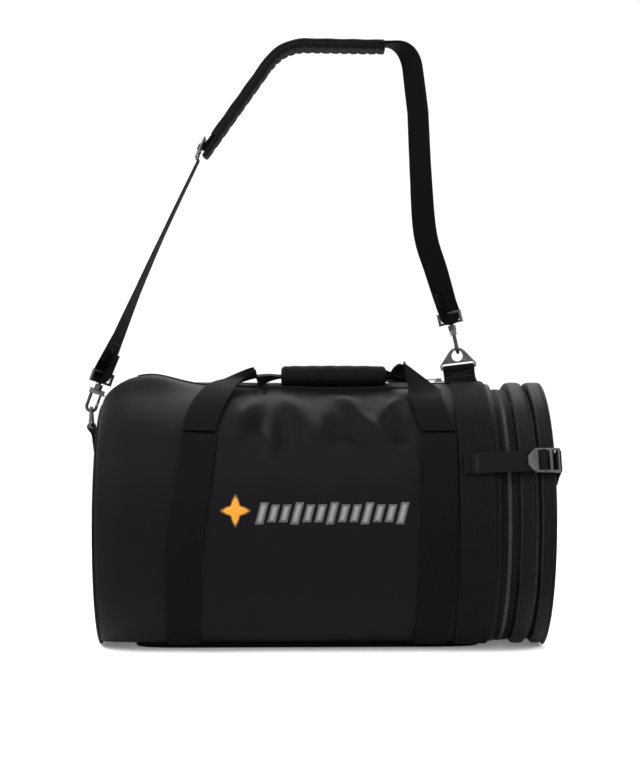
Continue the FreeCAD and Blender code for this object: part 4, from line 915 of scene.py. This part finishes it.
def on_strap(side, x, across, height):
    """A point on a compression strap: across its width, downwards, and height out from the case's axis."""
    a = math.radians(STRAP_TURN)
    out, down = Vector((0, -side * math.sin(a), math.cos(a))), Vector((0, -side * math.cos(a), -math.sin(a)))
    return Vector((x, 0, CASE_AXIS)) + out * height + down * across


def smooth_line(spots, share):
    """A point on the smooth line through some spots, at a share of their number."""
    at = share * (len(spots) - 1)
    n = min(int(at), len(spots) - 2)
    t = at - n
    a, b, c, d = (Vector(spots[min(max(n + k, 0), len(spots) - 1)]) for k in (-1, 0, 1, 2))
    return (b * 2 + (c - a) * t + (a * 2 - b * 5 + c * 4 - d) * t * t + (b * 3 - a - c * 3 + d) * t ** 3) / 2


def strap_run(name, side, spots, columns, body=None, blend=None, nodes=()):
    def place(along, across):
        x, height, slip = smooth_line(spots, along)
        return on_strap(side, x, side * (across - 0.5) * 0.032 + slip, height + 0.001)

    made = panel(name, columns, 6, place)
    made.data.materials.append(strap_cloth)
    thicken(made, 0.0018)
    if nodes:
        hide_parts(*nodes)
    if blend:
        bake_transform(made)
    else:
        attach(made, body)
    return made


for side, name in ((1, "front"), (-1, "back")):
    first = ("case", "middle_ring", 0.262, 0.289)
    second = ("middle_ring", "end_cap", 0.303, 0.316)
    node = ["compression_straps"] if side > 0 else []
    load = [(0.2072, 0.2094, 0.003), (0.2110, 0.2096, 0.003), (0.235, 0.2104, 0.002), (0.262, 0.2106, 0.001),
            (0.300, 0.2106, 0)]
    strap_run(name + "_load_web", side, load, 40, blend=first, nodes=node)
    loop = [(0.300, 0.2106, 0), (0.312, 0.2106, 0), (0.3255, 0.2110, 0), (0.3302, 0.2140, 0),
            (0.3290, 0.2186, 0), (0.3245, 0.2200, 0),
            (0.3204, 0.2180, 0), (0.3180, 0.2142, 0), (0.3130, 0.2130, 0), (0.306, 0.2130, 0), (0.300, 0.2130,
                0)]
    strap_run(name + "_lock_web", side, loop, 60, blend=second)
    tail = [(0.300, 0.2130, 0), (0.280, 0.2130, 0.0008), (0.255, 0.2134, 0.002), (0.236, 0.2142, 0.0035),
            (0.2185, 0.2160, 0.005)]
    strap_run(name + "_tail_web", side, tail, 50, blend=first)
    hem = [(0.2186, 0.2166, 0.005), (0.2182, 0.2152, 0.005), (0.2196, 0.2140, 0.005), (0.2280, 0.2130, 0.004)]
    strap_run(name + "_tail_hem", side, hem, 14, body="case")
    rows = []
    for x in (0.2250, 0.2275):
        line = [on_strap(side, x, off + 0.0045, 0.2162) for off in (-0.0135 + 0.0027 * n for n in range(11))]
        rows += seam(line, [on_strap(side, 0, 0, 1) - on_strap(side, 0, 0, 0)] * 11)
    for off in (-0.012, 0.012):
        line = [on_strap(side, 0.2095 + 0.0012 * n, off + 0.003, 0.2117) for n in range(6)]
        rows += seam(line, [on_strap(side, 0, 0, 1) - on_strap(side, 0, 0, 0)] * 6)
    settle(repeated(name + "_strap_seams", stitch, rows, thread_nylon), "case", "webbing")

    def loop_place(along, across):
        spots = [(0.3462, 0.160), (0.3446, 0.182), (0.3440, 0.198), (0.3440, 0.213), (0.3452, 0.2186),
                 (0.3475, 0.2198), (0.3498, 0.2186),
                 (0.3510, 0.2150), (0.3505, 0.206), (0.3500, 0.190), (0.3506, 0.170), (0.3512, 0.160)]
        x, height, _ = smooth_line([(*p, 0) for p in spots], along)
        return on_strap(side, x, -side * (across - 0.5) * 0.031, height - 0.0027)

    holder = panel(name + "_lock_holder", 60, 6, loop_place)
    holder.data.materials.append(strap_cloth)
    thicken(holder, 0.0018, offset=0)
    settle(holder, "end_cap", "webbing", *(["buckle_anchors"] if side > 0 else []))


# ---- carry handles ----
# Each handle is one length of 50 mm webbing. It leaves its sewn band, leans over the flap, is folded in half
# along the middle to make a grip bar, and goes down to the other band; the front one is creased at a slant.
def lying(side, x, turn, lift, heading, fold, flip=1):
    """A station of a handle on the case: middle, half width and how far the edges are folded under."""
    a, h = math.radians(turn), math.radians(heading)
    down = Vector((0, -side * math.cos(a), -math.sin(a)))
    half = Vector((flip * math.cos(h), 0, 0)) + down * math.sin(h)
    return case_at(x, side * turn, lift), half * 0.0248, fold


def ribbon(name, runs, thick, finish, side=1):
    """Webbing through smooth runs of stations, with its outer quarters folded under where they say so."""
    samples = []
    for run in runs:
        steps = 10 * (len(run) - 1)
        for n in range(steps + 1):
            middle = smooth_line([spot for spot, _, _ in run], n / steps)
            half = smooth_line([wide for _, wide, _ in run], n / steps)
            fold = smooth_line([(f, 0, 0) for _, _, f in run], n / steps)[0]
            samples.append((middle, half, min(max(fold, 0), 1)))
    count = len(samples) - 1

    def place(along, across):
        n = round(along * count)
        middle, half, fold = samples[n]
        ahead = (samples[min(n + 1, count)][0] - samples[max(n - 1, 0)][0]).normalized()
        under = -ahead.cross(half.normalized()) * side
        if under.z > 0 and fold > 0.5:
            under = -under
        u = (across * 2 - 1) * side
        if abs(u) <= 0.5 or fold < 0.01:
            return middle + half * u
        bend, way = math.pi * 0.97 * fold, math.copysign(1, u)
        reach = half.length * (abs(u) - 0.5)
        lean = half.normalized() * way
        sink = math.sin(bend) * reach + 0.0026 * fold * min(1, (abs(u) - 0.5) * 6)
        return middle + half * (0.5 * way) + lean * (math.cos(bend) * reach) + under * sink

    made = panel(name, count, 16, place)
    made.data.materials.append(finish)
    thicken(made, thick, offset=0)
    return made


left_leg = [(-0.184, 49.6, 0.0034, 2, 0), (-0.179, 41, 0.0042, 8, 0), (-0.168, 31, 0.0060, 18, 0),
            (-0.154, 21, 0.0080, 42, 0),
            (-0.138, 13.5, 0.0085, 68, 0.02), (-0.112, 9, 0.0125, 82, 0.3), (-0.085, 6.9, 0.0160, 88,
                0.75), (-0.062, 6.4, 0.0150, 90, 1)]
front_up = [lying(1, *spot) for spot in left_leg]
bar = [(Vector((x, -0.0230, 0.4143)), Vector((0, -0.0248, 0)), 1) for x in (-0.045, 0.0, 0.05, 0.092, 0.104)]
turned = [
    (Vector((0.1130, -0.0270, 0.4185)), Vector((0, -0.0165, 0.017)), 0.95),
    (Vector((0.1215, -0.0330, 0.4235)), Vector((0.002, -0.004, 0.021)), 0.7),
    (Vector((0.1390, -0.0430, 0.4185)), Vector((-0.014, 0.006, 0.021)), 0.25),
    (Vector((0.1565, -0.0545, 0.4140)), Vector((-0.0275, 0.0145, 0.0215)), 0),
]
crease = [
    (Vector((0.1565, -0.0565, 0.4140)), Vector((-0.0275, 0.0145, 0.0215)), 0),
    (Vector((0.1567, -0.0690, 0.4035)), Vector((-0.0250, 0.0050, 0.0105)), 0),
    (Vector((0.1572, -0.0880, 0.3900)), Vector((-0.0248, 0.0005, 0.0020)), 0),
]
crease += [lying(1, x, turn, lift, 0, 0, -1) for x, turn,
           lift in ((0.1590, 32, 0.0065), (0.1655, 41, 0.0045), (0.1735, 49.6, 0.0034))]
front_handle = ribbon("front_handle_strap", [front_up + bar + turned, crease], 0.0020, web_cloth)
settle(front_handle, "front_handle", "webbing", "front_handle_web")

back_up = [lying(-1, *spot) for spot in left_leg]
back_down = [lying(-1, -x - 0.0105, turn, lift, heading, fold, -1) for x, turn, lift, heading,
             fold in reversed(left_leg)]
back_bar = [(Vector((x, 0.0230, 0.4143)), Vector((0, 0.0248, 0)), 1) for x in (-0.045, 0.0, 0.035)]
back_handle = ribbon("back_handle_strap", [back_up + back_bar + back_down], 0.0020, web_cloth, side=-1)
settle(back_handle, "back_handle", "webbing", "back_handle_web")


# ---- grip ----
# A foam-filled wrap of soft cloth sewn round the front handle's bar, with a cover flap that presses shut over
# it by hook and loop; its edges are bound and stitched.
grip_cloth = woven("grip_cloth", (0.0010, 0.0010, 0.0011), (0.0044, 0.0044, 0.0045), 0.0013, 0.0006, 0.75)
GRIP_Y, GRIP_Z, GRIP_LEFT, GRIP_RIGHT = -0.023, 0.4143, -0.057, 0.098


def grip_place(along, across):
    turn = 2 * math.pi * across
    if along < 0.2 or along > 0.8:
        k = along / 0.2 if along < 0.2 else (1 - along) / 0.2
        inset, size = smooth_line([(a, b, 0) for a,
                                   b in ((0.004, 0.55), (0.0, 0.70), (0.0003, 0.88), (0.0026, 0.985),
                                         (0.007, 0.94), (0.011, 1.0))], k)[:2]
        x = GRIP_LEFT + inset if along < 0.5 else GRIP_RIGHT - inset
    else:
        share = (along - 0.2) / 0.6
        x = GRIP_LEFT + 0.011 + (GRIP_RIGHT - GRIP_LEFT - 0.022) * share
        size = 1.0 + 0.035 * math.sin(math.pi * share) + 0.018 * math.sin(share * 31)
    y, z = -math.sin(turn) * 0.0138 * size, math.cos(turn) * 0.0128 * size
    if z < 0:
        z *= 0.86
    return Vector((x, GRIP_Y + y, GRIP_Z + z))


grip = panel("grip_wrap", 100, 40, grip_place)
grip.data.materials.append(grip_cloth)
thicken(grip, 0.004, offset=-1)
settle(grip, "front_handle", "grip_fabric", "grip_pad")


def cover_place(along, across):
    x = -0.052 + 0.145 * along
    turn = math.radians(2 + 112 * across)
    scallop = 0.0006 * math.sin(along * 38) * across
    r = 0.0158 + scallop + 0.0009 * math.sin(math.pi * across)
    return Vector((x, GRIP_Y - math.sin(turn) * r, GRIP_Z + math.cos(turn) * (r - 0.0008) + 0.0008 * scallop))


cover = panel("grip_cover_flap", 60, 16, cover_place)
cover.data.materials.append(grip_cloth)
thicken(cover, 0.0013)
settle(cover, "grip_cover", "grip_fabric", "grip_flap")
rows = []
for x in (-0.0495, 0.0905):
    turns_over = [math.radians(6 + 102 * n / 12) for n in range(13)]
    line = [Vector((x, GRIP_Y - math.sin(a) * 0.0166, GRIP_Z + math.cos(a) * 0.0160)) for a in turns_over]
    rows += seam(line, [(p - Vector((x, GRIP_Y, GRIP_Z))).normalized() for p in line])
line = [cover_place(n / 50, 0.93) for n in range(1, 50)]
rows += seam(line, [Vector((0, -0.95, -0.3))] * 49)
settle(repeated("grip_seams", stitch, rows, thread_nylon), "grip_cover", "webbing")


# ---- ring tabs ----
# A short loop of webbing round each strap ring's straight bar: the right one stands up from the anchor band,
# and the left one is sewn flat on the closed end. A box of stitches closes each loop.
def tab_of(name, spots, way, width, thick, finish, columns):
    """A loop of webbing through spots in one plane, of a width along way."""
    def place(along, across):
        return smooth_line(spots, along) + way * ((0.5 - across) * width)

    made = panel(name, columns, 8, place)
    made.data.materials.append(finish)
    return thicken(made, thick, offset=0)


tilt = math.radians(6.78)
bar_way, bar_up = Vector((math.cos(tilt), 0, math.sin(tilt))), Vector((-math.sin(tilt), 0, math.cos(tilt)))
foot = Vector((0.218, 0, 0.429))
loop = []
for y, up in ((-0.0165, -0.0228), (-0.0090, -0.0208), (-0.0026, -0.0165), (-0.0016, -0.0085),
              (-0.0034, -0.0025), (-0.0033, 0.0016), (0, 0.0036),
              (0.0033, 0.0016), (0.0034, -0.0025), (0.0016, -0.0085), (0.0026, -0.0165), (0.0090,
                  -0.0208), (0.0165, -0.0228)):
    loop.append(foot + Vector((0, y, 0)) + bar_up * up)
right_tab = tab_of("right_tab_web", loop, bar_way, 0.0490, 0.0021, web_cloth, 72)
settle(right_tab, "case", "webbing", "right_tab")
rows = []
for up in (-0.0065, -0.0145):
    line = [foot + bar_way * (0.0027 * n - 0.0216) + Vector((0, -0.0029, 0)) + bar_up * up for n in range(17)]
    rows += seam(line, [Vector((0, -1, 0))] * 17)
for lean in (-1, 1):
    line = [foot + bar_way * (lean * (0.0027 * n - 0.0216)) + Vector((0, -0.0030,
        0)) + bar_up * (-0.0065 - 0.008 * n / 16) for n in range(17)]
    rows += seam(line, [Vector((0, -1, 0))] * 17)
settle(repeated("right_tab_seams", stitch, rows, thread_nylon), "case", "webbing")

foot = Vector((-0.358, 0, 0.337))
loop = [foot + Vector((x, 0, z)) for x, z in (
    (0.0118, -0.0520), (0.0098, -0.0400), (0.0078, -0.0250), (0.0066, -0.0120), (0.0046, -0.0030), (0.0030,
        0.0026), (0, 0.0037),
    (-0.0034, 0.0018), (-0.0035, -0.0022), (-0.0012, -0.0060), (0.0030, -0.0120), (0.0050, -0.0250), (0.0070,
        -0.0400), (0.0090, -0.0520))]
left_tab = tab_of("left_tab_web", loop, Vector((0, -1, 0)), 0.0490, 0.0021, web_cloth, 72)
settle(left_tab, "case", "webbing", "left_tab")
rows = []
for z in (-0.0150, -0.0480):
    line = [foot + Vector((0.0040 - 0.0000 * n - (z + 0.015) * 0.12, 0.0027 * n - 0.0216,
                           z)) for n in range(17)]
    rows += seam(line, [Vector((-1, 0, 0.1))] * 17)
settle(repeated("left_tab_seams", stitch, rows, thread_nylon), "case", "webbing")


# ---- shoulder strap ----
# One 38 mm nylon web: single from the left clip to the slider, doubled from there over the shoulder to the
# right clip. It is folded round each clip's frame and box-stitched, and twists a little as it hangs.
sling_cloth = webbing("sling_cloth", (0.0006, 0.0006, 0.0006), (0.0027, 0.0027, 0.0026), 0.019, rib=0.0015,
                      depth=0.0006)
LEFT_TOP, RIGHT_TOP = Vector((-0.33786, 0, 0.42335)), Vector((0.20198, 0, 0.51723))
GLIDE = Vector((-0.183, 0, 0.770))
ARCH = [(GLIDE, 0.0), (Vector((-0.062, 0, 0.940)), 0.080), (Vector((0.141, 0, 0.937)), 0.045),
        (Vector((0.154, 0, 0.830)), 0.0)]


def arch_line(corners, gap=0.006):
    """Points along straight runs with a round bend at each inner corner."""
    spots = [corners[0][0].copy()]
    for (before, _), (corner, radius), (after, _) in zip(corners, corners[1:], corners[2:]):
        back, ahead = (before - corner).normalized(), (after - corner).normalized()
        opening = math.acos(max(-1, min(1, back.dot(ahead))))
        reach = radius / math.tan(opening / 2)
        first, last = corner + back * reach, corner + ahead * reach
        for n in range(13):
            k = n / 12
            spots.append((first * (1 - k) + corner * k) * (1 - k) + (corner * (1 - k) + last * k) * k)
    spots.append(corners[-1][0].copy())
    line = [spots[0]]
    for spot in spots[1:]:
        run = spot - line[-1]
        parts = max(int(run.length / gap), 1)
        line += [line[-1] + run * ((n + 1) / parts) for n in range(parts)] if run.length > 1e-6 else []
    return line


def hung(name, stations, width, thick, finish, crown=0.0):
    """Webbing through stations of middle, twist from the y direction in degrees, lift and slide."""
    count = len(stations) - 1
    frames = []
    for n, (spot, twist, lift, slide) in enumerate(stations):
        ahead = (stations[min(n + 1, count)][0] - stations[max(n - 1, 0)][0]).normalized()
        wide = Matrix.Rotation(math.radians(twist), 3, ahead) @ Vector((0, 1, 0))
        up = ahead.cross(wide).normalized()
        wide = up.cross(ahead).normalized()
        frames.append((spot + up * lift + wide * slide, wide, up))

    def place(along, across):
        spot, wide, up = frames[round(along * count)]
        u = 2 * across - 1
        return spot + wide * (u * width / 2) + up * (crown * (1 - u * u))

    made = panel(name, count, 8, place)
    made.data.materials.append(finish)
    return thicken(made, thick, offset=0), frames


def spaced(first, last, shares, values, steps, bow=0.0):
    """Stations on the line between two points, their values blended between the given shares."""
    made = []
    for n in range(steps + 1):
        k = n / steps
        value = np.interp(k, shares, values)
        sag = Vector((0, 0, 0)) if not bow else Vector((bow * math.sin(math.pi * k), 0, 0))
        made.append((first.lerp(last, k) + sag, float(value)))
    return made


def folded_end(top, ahead, twist, radius=0.0030, back=0.034):
    """Stations for webbing that comes down behind and goes round a frame's bar to its near side."""
    wide = Matrix.Rotation(math.radians(twist), 3, ahead) @ Vector((0, 1, 0))
    up = ahead.cross(wide).normalized()
    bar = top - ahead * 0.0032
    made = [bar + ahead * (back * (1 - n / 6)) + up * (-0.0018 - 0.0014 * (n / 6) ** 2) for n in range(7)]
    for a in (math.pi * n / 10 for n in range(11)):
        made.append(bar - up * (radius * math.cos(a)) - ahead * (radius * math.sin(a)))
    return made, up


def box_seam(frames, first, last, half, side):
    """A box and cross of stitches between two stations of a web, on one face of it."""
    def spot(n, u):
        middle, wide, up = frames[n]
        return middle + wide * u + up * (0.0013 * side)

    rows, out = [], frames[first][2] * side
    corners = [spot(first, -half), spot(first, half), spot(last, half), spot(last, -half), spot(first, -half)]
    for a, b in [*zip(corners, corners[1:]), (corners[0], corners[2]), (corners[1], corners[3])]:
        steps = max(int((b - a).length / 0.003), 2)
        rows += seam([a.lerp(b, n / steps) for n in range(steps + 1)], [out] * (steps + 1))
    return rows


run = (GLIDE - LEFT_TOP).normalized()
wrap, _ = folded_end(LEFT_TOP, run, -40)
steps = spaced(LEFT_TOP, LEFT_TOP.lerp(GLIDE, 0.955), (0, 0.16, 0.37, 0.63, 0.97, 1),
               (-40, -22, -10, -3, 0, 0), 70, bow=-0.004)
single = [(p, -40, 0, 0) for p in wrap] + [(p, twist, 0.0026 if n < 3 else 0.0026 * max(0, 1 - n / 12),
                                            0) for n, (p, twist) in enumerate(steps[1:], 1)]
single_web, frames = hung("strap_single_strip", single, 0.0375, 0.0020, sling_cloth)
settle(single_web, "strap", "webbing", "strap_single_web")
settle(repeated("left_end_seams", stitch, box_seam(frames, 20, 26, 0.0150, 1) + box_seam(frames, 20, 26,
    0.0150, -1), thread_nylon), "strap", "webbing")

arch = arch_line(ARCH)
bends = [Vector((0.1540, 0, 0.830)), Vector((0.1585, 0, 0.730)), Vector((0.1650, 0, 0.640)),
         Vector((0.1830, 0, 0.580)), RIGHT_TOP]
leg = []
for n in range(1, 81):
    k = n / 80
    spot = smooth_line(bends, k)
    leg.append((spot, float(np.interp(k, (0, 0.2, 0.5, 0.75, 1), (-50, -53, -66, -62, -45)))))
over = [(p, -50 * eased((p.x - 0.105) / 0.048) if p.z > 0.8 and p.x > 0.105 else 0) for p in arch]
front_layer = [(p, twist, 0.0014, 0) for p, twist in over] + [(p, twist, 0.0014, 0) for p, twist in leg]
front_web, _ = hung("strap_front_strip", front_layer, 0.0375, 0.0020, sling_cloth)
settle(front_web, "strap", "webbing", "strap_double_web")
down = (RIGHT_TOP - bends[-2]).normalized()
wrap, _ = folded_end(RIGHT_TOP, -down, -45)
rear_layer = [(p, twist, -0.0014, 0) for p, twist in over]
for n, (p, twist) in enumerate(leg):
    k = (n + 1) / 80
    swell = math.sin(math.pi * min(max((k - 0.06) / 0.88, 0), 1))
    rear_layer.append((p + Vector((0.0042 * swell, 0.0010 * swell, 0)), twist - 6 * swell,
                       -0.0014 - 0.0012 * swell, 0.0030 * swell))
rear_web, frames = hung("strap_rear_strip", rear_layer, 0.0375, 0.0020, sling_cloth)
settle(rear_web, "strap", "webbing")
loop_run = [(p, -45, 0, 0) for p in wrap]
end_web, end_frames = hung("strap_right_fold",
                           loop_run + [(RIGHT_TOP - down * (0.003 + 0.031 * n / 8), -45, 0.0036,
                                        0) for n in range(9)], 0.0375, 0.0020, sling_cloth)
settle(end_web, "strap", "webbing")
settle(repeated("right_end_seams", stitch, box_seam(end_frames, 20, 25, 0.0150, 1) + box_seam(end_frames, 20,
    25, 0.0150, -1), thread_nylon), "strap", "webbing")

keeper_run = (ARCH[1][0] - GLIDE).normalized()
run_up = Vector((-run.z, 0, run.x))
humps = ((-0.0120, 0.0026), (-0.0085, 0.0034), (-0.0060, 0.0066), (-0.0030, 0.0082), (0.0030, 0.0082),
         (0.0060, 0.0066), (0.0085, 0.0034), (0.0120, 0.0026))
keeper = [GLIDE + run * a + run_up * b for a, b in humps]
keeper_web = tab_of("adjuster_keeper", keeper, Vector((0, -1, 0)), 0.0370, 0.0007, sling_cloth, 40)
settle(keeper_web, "adjuster", "webbing")


# ---- shoulder pad ----
# A long cushion of mesh cloth over foam lies under the doubled web, held to it by a thin sleeve. Sewn
# channels cross its underside, closer together towards the right, and its edge is bound.
pad_cloth = woven("pad_cloth", (0.0009, 0.0009, 0.0009), (0.0042, 0.0042, 0.0043), 0.0017, 0.0009, 0.8)
sleeve_cloth = woven("sleeve_cloth", (0.0006, 0.0006, 0.0006), (0.0026, 0.0026, 0.0026), 0.0010, 0.0004, 0.7)
PAD_END = Vector((0.101, 0, 0.9376))
under = arch_line([(GLIDE - keeper_run * 0.008, 0.0), (Vector((-0.062, 0, 0.940)), 0.080), (PAD_END, 0.0)],
                  gap=0.0022)
lengths = [0.0]
for a, b in zip(under, under[1:]):
    lengths.append(lengths[-1] + (b - a).length)


def pad_point(share):
    """A place on the pad's middle line with its outward direction and how far along it is."""
    far = share * lengths[-1]
    n = max(0, min(len(under) - 2, int(np.searchsorted(lengths, far)) - 1))
    k = (far - lengths[n]) / max(lengths[n + 1] - lengths[n], 1e-9)
    ahead = (under[min(n + 2, len(under) - 1)] - under[max(n - 1, 0)]).normalized()
    return under[n].lerp(under[n + 1], k), Vector((-ahead.z, 0, ahead.x)), far


def pad_place(along, across):
    k = min(max((along - 0.03) / 0.94, 0), 1)
    spot, up, far = pad_point(k)
    close = math.sqrt(max(1 - (1 - min(along, 1 - along) / 0.03) ** 2, 0)) if min(along,
        1 - along) < 0.03 else 1.0
    turn = 2 * math.pi * across
    c, q = math.cos(turn), math.sin(turn)
    narrow = 1 - 0.16 * (1 - min(min(far, lengths[-1] - far) / 0.05, 1)) ** 2
    wide = 0.0302 * narrow * math.copysign(abs(c) ** 0.55, c) * (0.35 + 0.65 * close)
    thick = math.copysign(abs(q) ** 0.75, q)
    if q < 0:
        rib = 0.5 + 0.5 * math.cos(2 * math.pi * far / (0.021 if far < 0.17 else 0.0145))
        groove = (0.0012 + (0.0016 if far > 0.17 else 0)) * rib ** 4 * abs(q)
        depth = 0.0060 - groove + 0.0006 * (far > 0.17)
    else:
        depth = 0.0042
    return spot - up * 0.0078 + Vector((0, wide, 0)) + up * (thick * depth * (0.25 + 0.75 * close))


cushion = panel("shoulder_cushion", 230, 36, pad_place)
alone(cushion)
bpy.ops.object.mode_set(mode="EDIT")
bpy.ops.mesh.select_all(action="SELECT")
bpy.ops.mesh.fill_holes(sides=0)
bpy.ops.mesh.normals_make_consistent(inside=False)
bpy.ops.object.mode_set(mode="OBJECT")
cushion.data.materials.append(pad_cloth)
bpy.ops.object.shade_smooth_by_angle(angle=math.radians(60))
settle(cushion, "strap", "pad_fabric", "shoulder_pad")


def sleeve_place(along, across):
    spot, up, far = pad_point(0.095 + 0.900 * along)
    turn = math.pi * (1 - across)
    c, q = math.cos(turn), math.sin(turn)
    wide = 0.0212 * math.copysign(abs(c) ** 0.35, c) * (1 + 0.18 * (1 - q) ** 2)
    height = -0.0036 + 0.0074 * abs(q) ** 0.35 + 0.0003 * math.sin(far * 160)
    return spot + Vector((0, -wide, 0)) + up * height


sleeve = panel("pad_sleeve", 120, 24, sleeve_place)
sleeve.data.materials.append(sleeve_cloth)
thicken(sleeve, 0.0011, offset=0)
settle(sleeve, "strap", "pad_fabric")
rows = []
for way in (-1, 1):
    line, ups = [], []
    for n in range(91):
        spot, up, far = pad_point(0.10 + 0.88 * n / 90)
        line.append(spot + Vector((0, way * 0.0255, 0)) - up * 0.0036)
        ups.append(up)
    rows += seam(line, ups)
settle(repeated("pad_seams", stitch, rows, thread_nylon), "strap", "webbing")


# ---- emblem ----
# Machine embroidery on the front panel: a four-pointed star in orange satin stitch with a brown outline, and
# a row of slanted bars in two greys.
def satin(name, dark, light, slant, pitch=0.00055):
    made, t, s = finish_of(name)
    s.inputs["Sheen Weight"].default_value = 0.03
    s.inputs["Specular IOR Level"].default_value = 0.25
    place = t.node("TexCoord", out=3)
    x = t.node("SeparateXYZ", {"Vector": place}, out=0)
    z = t.node("SeparateXYZ", {"Vector": place}, out=2)
    run = x * (math.cos(slant) * math.pi / pitch) + z * (math.sin(slant) * math.pi / pitch)
    lay = t.maths("ABSOLUTE", t.maths("SINE", run))
    cloud = t.node("TexNoise", {"Vector": place, "Scale": 300.0, "Detail": 2.0})
    lead(t.node("ValToRGB", {"Fac": lay * 0.55 + cloud * 0.45}, stops=[(0.2, dark), (0.85, light)]), s,
         "Base Color")
    lead(0.34 + cloud * 0.25, s, "Roughness")
    lead(t.node("Bump", {"Height": lay, "Strength": 0.7, "Distance": 0.0003}), s, "Normal")
    return made


orange_satin = satin("orange_satin", (0.44, 0.135, 0.004), (0.74, 0.27, 0.012), 0.9)
brown_satin = satin("brown_satin", (0.06, 0.024, 0.004), (0.14, 0.06, 0.012), 2.2)
grey_satin = satin("grey_satin", (0.030, 0.030, 0.032), (0.085, 0.085, 0.088), 0.35)
pale_satin = satin("pale_satin", (0.10, 0.10, 0.103), (0.21, 0.21, 0.215), 0.35)


def on_front(x, z, lift):
    """The place on the front panel at a height z."""
    return case_at(x, 90 - math.degrees(math.asin((z - CASE_AXIS) / CASE_RADIUS)), lift)


def star(name, size, raise_by, finish, points=4, waist=0.46):
    def place(along, out):
        a = 2 * math.pi * along
        k = abs(((along * points) % 1) - 0.5) * 2
        reach = size * (waist + (1 - waist) * k ** 1.7) * (1 - out)
        lift = raise_by * (0.25 + 0.75 * (1 - (1 - out) ** 4))
        return on_front(-0.1292 + math.sin(a) * reach, 0.2180 + math.cos(a) * reach * 1.06, lift)

    made = panel(name, 96, 5, place)
    made.data.materials.append(finish)
    thicken(made, 0.0006)
    return settle(made, "case", "webbing")


star("emblem_star_edge", 0.0226, 0.0011, brown_satin)
star("emblem_star", 0.0196, 0.0019, orange_satin)


def slanted_bar(name, x, width, low, high, raise_by, finish):
    def place(along, across):
        z = low + (high - low) * across
        over = 1 - (2 * abs(along - 0.5)) ** 3
        edge = 1 - (2 * abs(across - 0.5)) ** 8
        return on_front(x + width * (along - 0.5) + (z - 0.214) * 0.26, z, 0.0003 + raise_by * over * edge)

    made = panel(name, 6, 12, place)
    made.data.materials.append(finish)
    return thicken(made, 0.0005)


bars = []
for n in range(13):
    tall = 0.0160 if n % 3 == 0 else 0.0128
    x = -0.0905 + 0.0172 * n
    bars.append(slanted_bar(f"emblem_bar_{n:02d}_edge", x, 0.0120, 0.2140 - tall, 0.2140 + tall, 0.0008,
                            grey_satin))
    bars.append(slanted_bar(f"emblem_bar_{n:02d}", x, 0.0076, 0.2162 - tall, 0.2118 + tall, 0.0016,
                            pale_satin))
for made in bars:
    settle(made, "case", "webbing")


# ---- clean-up ----
# The shapes that were only copied from are removed.
for pattern in (stitch, tooth):
    bpy.data.objects.remove(pattern)
